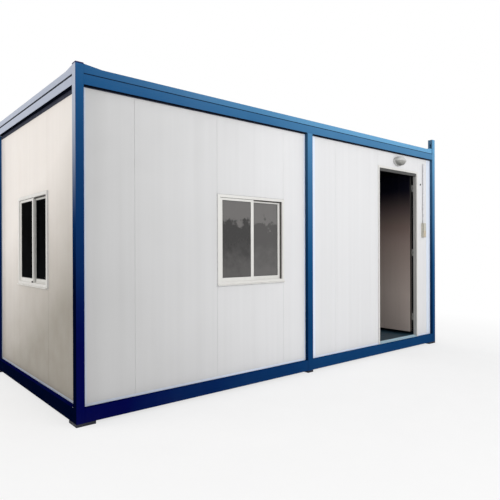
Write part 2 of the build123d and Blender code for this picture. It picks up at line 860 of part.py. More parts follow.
# Lamp over the door: an oval base with a hood, and a ribbed oval lens
def lamp_oval(depth, spread):
    """Oval of four arcs at a depth, spread out evenly from the base's outline."""
    half_width = lamp_width / 2 + spread
    half_height = lamp_height / 2 + spread
    end_radius = lamp_end_radius + spread
    bulge = half_width**2 + half_height**2 - 2 * half_width * end_radius
    side_radius = bulge / (2 * (half_height - end_radius))
    side_drop = side_radius - half_height
    with BuildSketch(face_plane("front", depth)) as oval:
        with Locations((lamp_offset, lamp_center_height - side_drop)):
            Circle(side_radius)
        with Locations((lamp_offset, lamp_center_height + side_drop)):
            Circle(side_radius, mode=Mode.INTERSECT)
        fillet(oval.vertices(), end_radius)
    return oval.sketch


lens_foot = recess - lamp_base_depth


def lamp_dome(rise):
    """Dome whose rim is cut to a quarter round in straight steps, raised by rise all over."""
    round_radius = lamp_lens_round + rise
    with BuildPart() as dome:
        extrude(lamp_oval(lens_foot, rise - lamp_rim), amount=lamp_lens_depth + rise)
        corner = 0
        for step in range(lamp_round_steps):
            turn = radians(90 * step / lamp_round_steps)
            slope = radians(90 * (step + 0.5) / lamp_round_steps)
            inset = round_radius * (1 - cos(turn))
            behind = round_radius * (1 - sin(turn))
            next_corner = inset + behind * tan(slope)
            front = dome.faces().sort_by(Axis.Y)[0]
            side_length = hypot(corner - inset, behind)
            chamfer(front.edges(), next_corner - corner, side_length, reference=front)
            corner = next_corner
    return dome.part


hood_inside = lamp_rib_rise + lamp_hood_gap
with BuildPart() as lamp_base:
    add(lamp_dome(hood_inside + lamp_hood_thickness))
    add(lamp_dome(hood_inside), mode=Mode.SUBTRACT)
    split(bisect_by=Plane.XY.offset(lamp_center_height), keep=Keep.TOP)
    extrude(lamp_oval(recess, 0), amount=lamp_base_depth)
    chamfer(lamp_base.faces(Select.LAST).sort_by(Axis.Y)[0].outer_wire().edges(), lamp_edge)
save(lamp_base.part, "lamp_base")

raised_dome = lamp_dome(lamp_rib_rise)
lens_plane = face_plane("front", lens_foot)
with BuildPart() as lamp_lens:
    add(lamp_dome(0))
    for offset in (-lamp_rib_spacing, 0, lamp_rib_spacing):
        rib_spot = lens_plane.from_local_coords((lamp_offset + offset, lamp_center_height, 0))
        slab = Box(lamp_rib, 4 * lamp_lens_depth, 2 * lamp_height, mode=Mode.PRIVATE)
        add(raised_dome & slab.moved(Location(rib_spot)))
save(lamp_lens.part, "lamp_lens")

# Conduit from the power box up to a bend into the wall
conduit_depth = recess - conduit_gap - conduit_radius
conduit_bend = recess - conduit_depth
conduit_start = box_start + box_width / 2
with BuildPart() as conduit:
    with BuildLine(section_plane("front", conduit_start)):
        riser = Line((conduit_depth, box_bottom + box_height), (conduit_depth, conduit_top - conduit_bend))
        RadiusArc(riser @ 1, (recess, conduit_top), conduit_bend)
    with BuildSketch(plan_plane("front", box_bottom + box_height)):
        with Locations((conduit_start, conduit_depth)):
            Circle(conduit_radius)
    sweep()
save(conduit.part, "conduit")

# Power box on the wall beside the door, with a raised lower lid
with BuildPart() as power_box:
    with BuildSketch(face_plane("front", recess)):
        rectangle_between(box_start, box_start + box_width, box_bottom, box_bottom + box_height)
    extrude(amount=box_depth)
    fillet(power_box.edges().filter_by(Axis.Y), box_lid)
    with BuildSketch(face_plane("front", recess - box_depth)):
        rectangle_between(
            box_start + box_lid,
            box_start + box_width - box_lid,
            box_bottom + box_lid,
            box_bottom + box_lid + box_lid_height,
        )
    extrude(amount=box_lid)
save(power_box.part, "power_box")
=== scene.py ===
"""Prefabricated bunkhouse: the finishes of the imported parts, their small fittings, and a plain stage."""

import math

import bmesh
import bpy
import numpy as np
from mathutils import Color, Matrix, Vector


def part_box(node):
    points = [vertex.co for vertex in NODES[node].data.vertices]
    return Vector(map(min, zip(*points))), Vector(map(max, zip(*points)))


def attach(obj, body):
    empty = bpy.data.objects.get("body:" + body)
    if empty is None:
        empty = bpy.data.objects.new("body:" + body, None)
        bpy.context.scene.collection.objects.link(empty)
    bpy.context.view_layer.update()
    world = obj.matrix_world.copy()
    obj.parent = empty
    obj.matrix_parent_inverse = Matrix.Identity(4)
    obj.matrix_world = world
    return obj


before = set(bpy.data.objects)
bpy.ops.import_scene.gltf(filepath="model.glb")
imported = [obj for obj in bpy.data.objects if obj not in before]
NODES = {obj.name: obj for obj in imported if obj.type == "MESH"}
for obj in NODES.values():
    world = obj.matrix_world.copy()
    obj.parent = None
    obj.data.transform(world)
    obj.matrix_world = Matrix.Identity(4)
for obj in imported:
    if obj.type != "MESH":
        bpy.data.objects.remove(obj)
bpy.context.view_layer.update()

bl_info = {
    "name": "Prefabricated Bunkhouse",
    "version": (1, 0, 0),
    "blender": (4, 5, 0),
    "location": "View3D > Sidebar > Bunkhouse",
    "description": "Finishes and small fittings of a steel framed cabin with sandwich panel walls",
    "category": "Add Mesh",
}

MM = 0.001
UP = np.array((0.0, 0.0, 1.0))
SHARP_ANGLE = math.radians(35)  # between two faces, past which their edge isn't shaded smooth
PICTURE_SIDE = 500  # pixels


# Places, taken from the frame

(LEFT, FRONT, _), (RIGHT, REAR, _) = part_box("foot_pads")
ROOF_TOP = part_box("top_rails_long")[1].z
POST_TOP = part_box("corner_post_front_left")[1].z
POST_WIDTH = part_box("corner_post_front_left")[1].x - LEFT

# Each wall's left corner as seen from outside, and its direction along the face
WALLS = {
    "front": (np.array((LEFT, FRONT, 0.0)), np.array((1.0, 0.0, 0.0))),
    "right": (np.array((RIGHT, FRONT, 0.0)), np.array((0.0, 1.0, 0.0))),
    "rear": (np.array((RIGHT, REAR, 0.0)), np.array((-1.0, 0.0, 0.0))),
    "left": (np.array((LEFT, REAR, 0.0)), np.array((0.0, -1.0, 0.0))),
}
END_WALLS = ("left", "right")
WINDOW_WALLS = ("front", "left")


def inwards(wall):
    """Direction into the building: the wall's own direction turned a quarter to the left."""
    along = WALLS[wall][1]
    return np.array((-along[1], along[0], 0.0))


def wall_points(wall, along, depth, height):
    """World points: corner + along * direction + depth * inwards + height * up, broadcast together."""
    corner, direction = WALLS[wall]
    along, depth, height = np.broadcast_arrays(along, depth, height)
    return corner + along[..., None] * direction + depth[..., None] * inwards(wall) + height[..., None] * UP


def wall_span(node, wall):
    """A node's box in its wall's frame: pairs of distances along, inwards and up."""
    corner, direction = WALLS[wall]
    ends = np.array(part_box(node)) - corner
    return np.sort(ends @ direction), np.sort(ends @ inwards(wall)), np.sort(ends[:, 2])


def face_depth(node, wall):
    """How far in a node's outer face lies on a wall."""
    return wall_span(node, wall)[1][0]


def wall_bays(wall):
    """Stretches of a wall between its posts, as pairs of distances along it."""
    posts = np.array([wall_span(node, wall)[0] for node in NODES if node.startswith("corner_post")])
    start, end = posts[:, 1].min(), posts[:, 0].max()
    if wall in END_WALLS:
        return ((start, end),)
    middle = wall_span("mid_posts", wall)[0]
    return ((start, middle[0]), (middle[1], end))


def pane_places(wall):
    """The two panes of a wall's window: each one's span on the wall, and its front and back depth."""
    mesh = NODES[f"{wall}_window_glass"].data
    points = np.empty(len(mesh.vertices) * 3)
    mesh.vertices.foreach_get("co", points)
    corner, direction = WALLS[wall]
    relative = points.reshape(-1, 3) - corner
    along, depth, height = relative @ direction, relative @ inwards(wall), relative[:, 2]
    middle = (depth.min() + depth.max()) / 2
    return [
        (
            (along[pane].min(), along[pane].max(), height[pane].min(), height[pane].max()),
            (depth[pane].min(), depth[pane].max()),
        )
        for pane in (depth < middle, depth > middle)
    ]


# Sizes and colours that a user would change


def colour(name, description, value):
    """A colour swatch, given as it looks on a screen."""
    return bpy.props.FloatVectorProperty(
        name=name, description=description, subtype="COLOR_GAMMA", size=3, min=0, max=1, default=value
    )


def length(name, description, value):
    """A length in metres."""
    return bpy.props.FloatProperty(
        name=name, description=description, subtype="DISTANCE", unit="LENGTH", min=0, default=value
    )


def power(name, description, value):
    """A lamp's power in watts."""
    return bpy.props.FloatProperty(name=name, description=description, subtype="POWER", min=0, default=value)


def angle(name, description, degrees):
    """An angle, given in degrees."""
    return bpy.props.FloatProperty(
        name=name, description=description, subtype="ANGLE", default=math.radians(degrees)
    )


class BunkhouseColours(bpy.types.PropertyGroup):
    """Colours of the finishes."""

    # Painted light: enamel_low, enamel_mid and enamel_high are painted shade near the ground and painted sky
    # reflection higher up
    enamel_low: colour("Enamel Low", "Blue enamel near the ground", (0.015, 0.03, 0.27))
    enamel_mid: colour("Enamel Mid", "Blue enamel at half height", (0.09, 0.31, 0.50))
    enamel_high: colour("Enamel High", "Blue enamel under the sky", (0.41, 0.645, 0.81))
    # Painted sky sheen: pale on the window end's faces high up
    enamel_sky_sheen: colour("Enamel Bloom", "Chalked enamel high on the window end", (0.725, 0.755, 0.82))
    # Painted shade low on the window end and on faces that face it
    enamel_shade: colour("Enamel Shade", "Enamel low on the window end", (0.0, 0.03, 0.14))
    # Painted shade on undersides, in the top rails' groove and at their ends beside the posts
    enamel_under_shade: colour("Enamel Under", "Enamel on undersides", (0.03, 0.05, 0.10))
    # Painted shade: a dark band at the tops of the posts, standing in for the edge of a cap in shadow
    enamel_top_shade: colour("Enamel Cap", "Edge of the plates that close the posts", (0.10, 0.11, 0.32))
    # Painted shadow: these foam strips stand for the shadow of the top rails on the panels
    foam: colour("Foam", "Foam strips under the top rails", (0.10, 0.13, 0.22))
    # Painted shade: the seal's grey stands for the shade in the door head's rebate
    grey_seal: colour("Grey Seal", "Seal under the door head", (0.29, 0.29, 0.285))
    tan_cover: colour("Tan Cover", "Lower cover of the power box", (0.80, 0.75, 0.66))
    # Painted light: each skin and trim blends from its shade colour to its lit one across its wall, with a
    # painted sky reflection high on the end wall
    skin_front: colour("Front Skin", "Painted skin of the front panels", (0.895, 0.895, 0.90))
    skin_shade: colour("Shaded Skin", "Front skin near the window end", (0.75, 0.75, 0.75))
    skin_end: colour("End Skin", "Painted skin of the end wall, sunlit", (0.935, 0.91, 0.885))
    skin_end_shade: colour("End Skin Shade", "End wall skin near the corner", (0.60, 0.575, 0.53))
    skin_plain: colour("Plain Skin", "Painted skin of the plain sides", (0.90, 0.90, 0.90))
    trim: colour("Trim", "Strips beside the posts", (0.89, 0.925, 0.98))
    trim_shade: colour("Trim Shade", "Strips at the window end", (0.74, 0.77, 0.82))
    aluminium: colour("White Aluminium", "Powder coat of the windows and door frame", (0.87, 0.865, 0.85))
    # Painted reflection: the sill's pale blue stands for sky reflected in the bare metal
    sill: colour("Sill", "Bare metal of the door sill", (0.80, 0.93, 0.99))
    # Painted light and shade: the leaf is pale near the floor and nearly black near its head
    leaf_floor_light: colour("Leaf Low", "Door leaf near the floor", (0.81, 0.75, 0.715))
    leaf_mid_shade: colour("Leaf Mid", "Door leaf at half height", (0.62, 0.54, 0.51))
    leaf_head_shade: colour("Leaf High", "Door leaf near the head", (0.03, 0.03, 0.10))
    leaf_edge: colour("Leaf Edge", "Edge profile of the door leaf", (0.13, 0.13, 0.12))
    floor: colour("Flooring", "Sheet flooring", (0.21, 0.33, 0.40))
    zinc: colour("Zinc", "Galvanised steel", (0.62, 0.65, 0.67))
    steel: colour("Steel", "Hinges and handle", (0.60, 0.60, 0.59))
    # Painted shade: the inner faces of the panels are darkened
    indoors: colour("Indoors", "Inner faces of the panels", (0.28, 0.28, 0.29))
    # Painted reflection: the front panes' grey bands stand for reflected sky and ground
    glass: colour("Glass", "Film on the front panes", (0.46, 0.45, 0.445))
    # Painted shade: the end panes are made nearly black; the dust on them is real
    end_glass_dust_and_shade: colour("End Glass", "Dust on the dark end panes", (0.04, 0.045, 0.055))
    dirt: colour("Dirt", "Dust and splashes", (0.42, 0.38, 0.32))
    lamp_grey: colour("Lamp Grey", "Lamp housing", (0.80, 0.80, 0.79))
    # Painted shade: the lens is greyer towards its lower edge
    lamp_lens: colour("Lamp Lens", "Frosted lens", (0.78, 0.78, 0.76))
    pipe: colour("Conduit", "Conduit and clips", (0.91, 0.91, 0.92))
    box: colour("Power Box", "Power box shell", (0.80, 0.79, 0.74))
    rubber: colour("Rubber", "Gaskets and seals", (0.07, 0.07, 0.075))
    pad: colour("Foot Pads", "Pads under the posts", (0.09, 0.10, 0.15))
    # Partly painted shadow: the pile strips' dark also stands for the shadow in the window gaps
    track: colour("Window Track", "Pile strips in the empty window tracks", (0.27, 0.25, 0.24))
    sealant: colour("Sealant", "Silicone beads round the window frames", (0.8055, 0.8055, 0.81))


class BunkhouseFittings(bpy.types.PropertyGroup):
    """Sizes of the small fittings."""

    screw_radius: length("Screw Radius", "Radius of a screw head", 0.0045)
    bead_radius: length("Bead Radius", "Radius of a weld bead", 0.003)
    # Painted shadow: heights of the dark strips that stand for the rails' shadow
    shadow_foam_end: length("End Foam Height", "Height of the foam strips on the end walls", 0.034)
    shadow_foam_side: length("Side Foam Height", "Height of the foam strips on the long walls", 0.009)
    cover_corner: length("Corner Cover", "Width of the wide strip at the corner post", 0.0295)
    cover_middle: length("Middle Cover", "Width of the wide strip at the middle post", 0.079)
    head_seal: length("Head Seal", "Height of the seal under the door head", 0.036)
    rivet_pitch: length("Rivet Pitch", "Distance between trim rivets", 0.30)
    roof_pitch: length("Roof Screw Pitch", "Distance between roof screws along a purlin", 0.205)
    gasket_width: length("Gasket Width", "Width of a glazing gasket", 0.004)
    sealant_width: length("Sealant Width", "Width of a sealant bead", 0.006)
    clip_pitch: length("Clip Pitch", "Distance between conduit clips", 0.32)


class BunkhouseStage(bpy.types.PropertyGroup):
    """Floor, light and camera."""

    floor_side: length("Floor Side", "Side of the floor", 60.0)
    sky_level: bpy.props.FloatProperty(
        name="Sky Level", description="Strength of the soft light from all round", min=0, default=0.50
    )
    key_power: power("Key Power", "Power of the large lamp in front", 350)
    end_power: power("End Power", "Power of the lamp at the window end", 160)
    fill_power: power("Fill Power", "Power of the small lamp at the near corner", 85)
    back_power: power("Back Power", "Power of the lamp behind", 500)
    focal_pixels: bpy.props.FloatProperty(
        name="Focal Length", description="Focal length in pixels of the 500 pixel frame", min=1, default=493.3
    )
    heading: angle("Heading", "Camera's turn from +Y towards +X", 40.165)
    pitch: angle("Pitch", "Camera's tilt upwards", -0.095)
    roll: angle("Roll", "Camera's turn about its line of sight", -0.173)
    eye: bpy.props.FloatVectorProperty(
        name="Eye", description="Camera's place", subtype="TRANSLATION", unit="LENGTH",
        default=(-3.881, -4.7515, 1.3112),
    )


# Meshes, worked out as whole arrays: a shape is its points and a list of arrays of point numbers


def grid_faces(rows, columns, wrap_rows=False, wrap_columns=False):
    """Quads between neighbouring points of a grid numbered row by row, closed round where it wraps."""
    row = np.arange(rows if wrap_rows else rows - 1)[:, None]
    column = np.arange(columns if wrap_columns else columns - 1)
    here, there = row * columns, (row + 1) % rows * columns
    beside = (column + 1) % columns
    corners = (here + column, here + beside, there + beside, there + column)
    return [np.stack(corners, axis=-1).reshape(-1, 4)]


def capped(rings, poles):
    """Closed shape: neighbouring rings joined by quads, the first and last joined to a pole each."""
    levels, sides = rings.shape[:2]
    faces = grid_faces(levels, sides, wrap_columns=True)
    for level, pole in ((0, levels * sides), (levels - 1, levels * sides + 1)):
        ring = np.arange(sides) + level * sides
        faces.append(np.stack((ring, np.roll(ring, -1), np.full_like(ring, pole)), axis=-1))
    return np.concatenate((rings.reshape(-1, 3), poles)), faces


def joined(shapes):
    """One shape from several: each one's faces are shifted by the points before them."""
    starts = np.cumsum([0] + [len(points) for points, _ in shapes])
    faces = [face_set + start for (_, faces), start in zip(shapes, starts) for face_set in faces]
    return np.concatenate([points for points, _ in shapes]), faces


def circle(sides):
    """Cosines and sines of evenly spaced angles all the way round."""
    turn = np.arange(sides) * (2 * math.pi / sides)
    return np.cos(turn), np.sin(turn)


def turned(profile, sides, scale=1.0):
    """Closed solid of revolution about z: each scaled (radius, height) pair is a ring, the ends capped."""
    radius, height = (np.asarray(profile, float) * scale).T
    cosine, sine = circle(sides)
    level = np.broadcast_to(height[:, None], (len(height), sides))
    rings = np.stack((radius[:, None] * cosine, radius[:, None] * sine, level), axis=-1)
    return capped(rings, ((0, 0, height[0]), (0, 0, height[-1])))


def copies(shape, places, outwards, turns=0.0):
    """A shape set at each place with its z along outwards, turned about it: place + turned basis * point."""
    points, faces = shape
    places = np.asarray(places, float).reshape(-1, 3)
    normal = np.asarray(outwards, float)
    side = np.cross(UP if abs(normal[2]) < 0.9 else (1.0, 0.0, 0.0), normal)
    side /= np.linalg.norm(side)
    rise = np.cross(normal, side)
    turns = np.broadcast_to(turns, len(places))[:, None]
    first = np.cos(turns) * side + np.sin(turns) * rise
    second = np.cos(turns) * rise - np.sin(turns) * side
    basis = np.stack((first, second, np.broadcast_to(normal, first.shape)), axis=1)
    spread = places[:, None, :] + np.einsum("pk,nkj->npj", points, basis)
    shifts = np.arange(len(places))[:, None, None] * len(points)
    return spread.reshape(-1, 3), [(face_set + shifts).reshape(-1, face_set.shape[1]) for face_set in faces]


def on_wall(shape, wall, along, depth, height, turns=0.0, way=-1):
    """Copies of a shape at places on a wall, with its z outwards or, for a way of one, inwards."""
    return copies(shape, wall_points(wall, along, depth, height), way * inwards(wall), turns)


def wall_bar(wall, along, depth, height, soft=0.6 * MM, upright=False):
    """Straight bar on a wall between two pairs of numbers each way: its section, with the two long front
    edges cut off, is swept along the wall or, where it is upright, up it."""
    corner, direction = WALLS[wall]
    ways = ((direction, along), (UP, height))
    (run, ends), (side, (low, high)) = reversed(ways) if upright else ways
    front, back = depth
    across = np.array((low, low, low + soft, high - soft, high, high))
    deep = np.array((back, front + soft, front, front, front + soft, back))
    section = across[:, None] * side + deep[:, None] * inwards(wall)
    rings = (corner + np.array(ends)[:, None] * run)[:, None] + section
    return capped(rings, rings.mean(axis=1))


def loop_frame(wall, span, profile, depth, stations=1, wobble=0.0):
    """Mitred loop round a rectangle on a wall: at each corner the profile's inset moves the corner in along
    both sides, and its second number moves it outwards. With more stations the sides are divided, and a sum
    of two sines of the station's number makes the profile wider and narrower by the wobble's share."""
    left, right, bottom, top = span
    share = np.arange(stations) / stations

    def spread(values):
        ahead = np.roll(values, -1)
        return (np.array(values)[:, None] * (1 - share) + ahead[:, None] * share).reshape(-1, 1)

    side = np.repeat(np.arange(4), stations)
    at_corner = np.tile(share == 0, 4)
    upright = side % 2 == 1
    move_along = (np.array((1, -1, -1, 1))[side] * (at_corner | upright))[:, None]
    move_height = (np.array((1, 1, -1, -1))[side] * (at_corner | ~upright))[:, None]
    phase = np.arange(len(side))[:, None] * 0.7
    swell = 1 + wobble * (0.6 * np.sin(phase * 1.9) + 0.4 * np.sin(phase * 4.7 + 1.3))
    inset, lift = (swell * part for part in np.asarray(profile, float).T)
    along = spread((left, right, right, left)) + inset * move_along
    height = spread((bottom, bottom, top, top)) + inset * move_height
    points = wall_points(wall, along, depth - lift, height)
    faces = grid_faces(*points.shape[:2], wrap_rows=True, wrap_columns=True)
    return points.reshape(-1, 3), faces


def tube(centres, radius, sides, binormal):
    """Round rod along a flat path: at each centre a circle of its radius in the plane of the path's normal
    and binormal."""
    tangent = np.gradient(centres, axis=0)
    tangent /= np.linalg.norm(tangent, axis=1, keepdims=True)
    normal = np.cross(binormal, tangent)
    cosine, sine = (part[None, :, None] * radius[:, None, None] for part in circle(sides))
    rings = centres[:, None] + cosine * normal[:, None] + sine * binormal
    return capped(rings, centres[[0, -1]])


def rounded_box(width, height, thickness, radius, steps=4):
    """Plate with rounded corners and a softened front edge: rings of the outline, the last ones inset."""
    turn = np.linspace(0, math.pi / 2, steps) + np.arange(4)[:, None] * (math.pi / 2)
    arcs = np.stack((np.cos(turn), np.sin(turn)), axis=-1)
    signs = np.array(((1, 1), (-1, 1), (-1, -1), (1, -1)))[:, None]
    centres = signs * (width / 2 - radius, height / 2 - radius)
    soft = min(radius, thickness) * 0.35
    levels = (
        (radius, 0.0),
        (radius, thickness - soft),
        (radius - soft * 0.4, thickness - soft * 0.35),
        (radius - soft, thickness),
    )
    rings = np.stack([
        np.pad((centres + arcs * reach).reshape(-1, 2), ((0, 0), (0, 1)), constant_values=level)
        for reach, level in levels
    ])
    return capped(rings, ((0, 0, 0), (0, 0, thickness)))


def strap_faces(count):
    """Faces of a strap whose outline of count points folds back on itself, joined point to opposite point."""
    first = np.arange(count // 2 - 1)
    opposite = count - 1 - first
    low = np.stack((first, first + 1, opposite - 1, opposite), axis=-1)
    return grid_faces(2, count, wrap_columns=True) + [low, low + count]


def add_piece(name, shapes, finish, body="cabin"):
    """Makes one object of the shapes with outward faces, gives it its finish, and sets it on its body."""
    points, faces = joined(shapes)
    mesh = bpy.data.meshes.new(name)
    mesh.from_pydata(points.tolist(), [], [face for face_set in faces for face in face_set.tolist()])
    worker = bmesh.new()
    worker.from_mesh(mesh)
    bmesh.ops.recalc_face_normals(worker, faces=worker.faces)
    worker.to_mesh(mesh)
    worker.free()
    piece = bpy.data.objects.new(name, mesh)
    bpy.context.scene.collection.objects.link(piece)
    mesh.materials.append(bpy.data.materials[finish])
    mesh.shade_smooth()
    mesh.set_sharp_from_angle(angle=SHARP_ANGLE)
    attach(piece, body)


# Heads of screws, bolts and rivets, as (radius, height) shares of the head's radius

PAN_HEAD = ((1.0, 0.0), (1.0, 0.25), (0.93, 0.42), (0.7, 0.56), (0.35, 0.62), (0.3, 0.4))
WASHER = ((1.7, 0.0), (1.7, 0.16), (1.6, 0.24))
HEX_HEAD = ((1.0, 0.2), (1.0, 0.78), (0.84, 0.95))
RIVET_HEAD = ((1.0, 0.0), (0.96, 0.2), (0.75, 0.4), (0.4, 0.5))


# Node building


class Net:
    """Short names for the nodes of one node tree."""

    def __init__(self, tree):
        self.tree = tree

    def fill(self, sockets, values):
        """Links or sets the sockets with the given names or numbers."""
        for label, value in values.items():
            if isinstance(value, bpy.types.NodeSocket):
                self.tree.links.new(value, sockets[label])
            else:
                sockets[label].default_value = value

    def node(self, kind, inputs=None, **settings):
        """Outputs of a new node, its settings set and its inputs filled."""
        made = self.tree.nodes.new("ShaderNode" + kind)
        for label, value in settings.items():
            setattr(made, label, value)
        self.fill(made.inputs, inputs or {})
        return made.outputs

    def math(self, operation, first, second=0.0, clamp=False):
        """Result of a named operation on two values."""
        return self.node("Math", {0: first, 1: second}, operation=operation, use_clamp=clamp)[0]

    def add(self, first, second, clamp=False):
        return self.math("ADD", first, second, clamp)

    def times(self, first, second, clamp=False):
        return self.math("MULTIPLY", first, second, clamp)

    def mix(self, share, first, second, blend_type="MIX"):
        """Colour between the first, at a share of zero, and the second."""
        inputs = {0: share, 6: first, 7: second}
        return self.node("Mix", inputs, data_type="RGBA", blend_type=blend_type)[2]

    def remap(self, value, low, high, to_low=0.0, to_high=1.0, smooth=False):
        """The range from low to high carried to another, and held at its ends."""
        inputs = {"Value": value, "From Min": low, "From Max": high, "To Min": to_low, "To Max": to_high}
        kind = "SMOOTHSTEP" if smooth else "LINEAR"
        return self.node("MapRange", inputs, clamp=True, interpolation_type=kind)[0]

    def axes(self):
        """X, Y and Z of the object coordinates."""
        return self.node("SeparateXYZ", {0: self.node("TexCoord")["Object"]})

    def place(self, scale=(1, 1, 1)):
        """Object coordinates, stretched by a scale."""
        return self.node("Mapping", {"Vector": self.node("TexCoord")["Object"], "Scale": scale})[0]

    def noise(self, vector, scale, detail=3.0, roughness=0.5):
        """Noise, from about 0.25 to 0.75."""
        inputs = {"Vector": vector, "Scale": scale, "Detail": detail, "Roughness": roughness}
        return self.node("TexNoise", inputs)["Fac"]

    def uneven(self, amount, scale, detail, roughness=0.5):
        """Noise about zero, times an amount."""
        level = self.noise(self.place(), scale, detail, roughness)
        return self.times(self.math("SUBTRACT", level, 0.5), amount)

    def grey(self, value):
        """Colour whose three parts are the value."""
        return self.node("CombineColor", {0: value, 1: value, 2: value})[0]

    def seen(self):
        """One for rays from the camera, off gloss and through glass, and zero for the others."""
        rays = self.node("LightPath")
        direct = self.add(rays["Is Camera Ray"], rays["Is Glossy Ray"])
        return self.add(direct, rays["Is Transmission Ray"], clamp=True)

    def group(self, name, inputs):
        """Outputs of a shared group, which is built the first time."""
        return self.node("Group", inputs, node_tree=bpy.data.node_groups.get(name) or build_group(name))


class Finish(Net):
    """The net of a new material with a Principled shader, some of whose sockets are set."""

    def __init__(self, name, **constants):
        material = bpy.data.materials.new(name)
        material.use_nodes = True
        super().__init__(material.node_tree)
        self.shader = self.tree.nodes["Principled BSDF"].inputs
        self.feed(**constants)

    def feed(self, **values):
        """Links or sets the shader's sockets of the same names."""
        self.fill(self.shader, {label.replace("_", " "): value for label, value in values.items()})

    def weathered(self, base, splash_height, amount):
        """A colour under the shared streaks and splashes."""
        inputs = {"Colour": base, "Dirt": tint("dirt"), "Splash Height": splash_height, "Amount": amount}
        return self.group("Weather", inputs)["Colour"]

    def tone(self, shade, bright, start, along):
        """Outputs of the shared group of painted light and shade between two colours of the settings."""
        inputs = {"Shade": tint(shade), "Bright": tint(bright), "Start": start}
        inputs.update({f"Along {axis}": slope for axis, slope in zip("XYZ", along)})
        return self.group("Slow Tone", inputs)

    def grain(self, scale, smooth, rough):
        """Height of the shared paint grain, whose roughness goes to the shader."""
        made = self.group("Paint Grain", {"Scale": scale, "Smooth": smooth, "Rough": rough})
        self.feed(Roughness=made["Roughness"])
        return made["Height"]

    def waves(self, size, dents):
        """Height of the shared sheet waves."""
        return self.group("Sheet Waves", {"Size": size, "Dents": dents})["Height"]

    def bump(self, height, strength, distance, corner=0.0):
        """Feeds the shader's normal with a bump over edges that are rounded by a corner radius."""
        inputs = {"Height": height, "Strength": strength, "Distance": distance}
        if corner:
            inputs["Normal"] = self.node("Bevel", {"Radius": corner}, samples=4)[0]
        self.feed(Normal=self.node("Bump", inputs)[0])


def tint(name, factor=1.0):
    """A colour of the scene's settings as linear light times a factor, with full alpha."""
    swatch = Color(getattr(bpy.context.scene.bunkhouse_colours, name)[:3])
    return (*(factor * part for part in swatch.from_srgb_to_scene_linear()), 1.0)


def weather(net, given):
    """Rain streaks and ground splashes: darkens a colour where stretched noise and height say so."""
    streaks = net.remap(net.noise(net.place((9, 9, 0.35)), 2.2, 5), 0.48, 0.72)
    patches = net.remap(net.noise(net.place(), 3.0, 6, 0.65), 0.35, 0.65)
    near_ground = net.math("SUBTRACT", 1.0, net.math("DIVIDE", net.axes()[2], given["Splash Height"]))
    splash = net.times(net.math("MAXIMUM", near_ground, 0.0), patches)
    mask = net.times(net.add(net.times(streaks, 0.35), splash), given["Amount"], clamp=True)
    return {"Colour": net.mix(mask, given["Colour"], given["Dirt"])}


def painted_light_tone(net, given):
    """Painted light and shade across a wall: a straight blend of three directions, broken up by noise that
    varies it at random.
    """
    reach = given["Start"]
    for axis, part in zip("XYZ", net.axes()):
        reach = net.add(reach, net.times(part, given[f"Along {axis}"]))
    mask = net.add(reach, net.uneven(0.35, 0.9, 3), clamp=True)
    return {"Colour": net.mix(mask, given["Shade"], given["Bright"]), "Mask": mask}


def paint_grain(net, given):
    """Fine paint texture: small noise as a height, and its larger patches as a roughness."""
    wipe = net.remap(net.noise(net.place(), 6.0, 4), 0.35, 0.65)
    span = net.math("SUBTRACT", given["Rough"], given["Smooth"])
    fine = net.noise(net.place(), given["Scale"], 2)
    return {"Height": fine, "Roughness": net.add(given["Smooth"], net.times(wipe, span))}


def sheet_waves(net, given):
    """Slight dents and waves of thin sheet: two sizes of slow noise as a height."""
    waves = net.noise(net.place((1, 1, 0.4)), given["Size"], 1)
    dents = net.times(net.noise(net.place(), 7.0, 1), given["Dents"])
    return {"Height": net.add(waves, dents)}


def brushed(net, given):
    """Brushed metal: noise stretched along one axis as a height and a roughness."""
    scales = net.node("CombineXYZ", {axis: given[f"Scale {axis}"] for axis in "XYZ"})[0]
    place = net.node("TexCoord")["Object"]
    lines = net.noise(net.node("VectorMath", {0: place, 1: scales}, operation="MULTIPLY")[0], 1.0, 2)
    return {"Height": lines, "Roughness": net.remap(lines, 0.3, 0.7, 0.28, 0.46)}


def indoors(net, given):
    """Mask of what lies inside the walls, where painted indoor shade goes: one where both distances from the
    middle are small enough.
    """
    near = [
        net.math("LESS_THAN", net.math("ABSOLUTE", part), given[label])
        for part, label in zip(net.axes(), ("Half Length", "Half Width"))
    ]
    return {"Mask": net.times(*near)}


# What fills each shared group, and the group's inputs with their defaults
GREY = (0.8, 0.8, 0.8, 1)
GROUPS = {
    "Weather": (weather, {"Colour": GREY, "Dirt": GREY, "Splash Height": 0.5, "Amount": 0.3}),
    "Slow Tone": (
        painted_light_tone,
        {"Shade": GREY, "Bright": GREY, "Start": 0.0, "Along X": 0.0, "Along Y": 0.0, "Along Z": 0.0},
    ),
    "Paint Grain": (paint_grain, {"Scale": 400.0, "Smooth": 0.25, "Rough": 0.4}),
    "Sheet Waves": (sheet_waves, {"Size": 2.0, "Dents": 0.4}),
    "Brushed": (brushed, {"Scale X": 900.0, "Scale Y": 900.0, "Scale Z": 12.0}),
    "Indoors": (indoors, {"Half Length": 2.45, "Half Width": 1.05}),
}


def build_group(name):
    """A shader group with its named inputs, and an output for each result of the function that fills it."""
    tree = bpy.data.node_groups.new(name, "ShaderNodeTree")
    net = Net(tree)
    build, inputs = GROUPS[name]
    for label, default in inputs.items():
        kind = "NodeSocketColor" if default is GREY else "NodeSocketFloat"
        tree.interface.new_socket(name=label, in_out="INPUT", socket_type=kind).default_value = default
    results = build(net, tree.nodes.new("NodeGroupInput").outputs)
    for label in results:
        kind = "NodeSocketColor" if label == "Colour" else "NodeSocketFloat"
        tree.interface.new_socket(name=label, in_out="OUTPUT", socket_type=kind)
    net.fill(tree.nodes.new("NodeGroupOutput").inputs, results)
    return tree


# Finishes

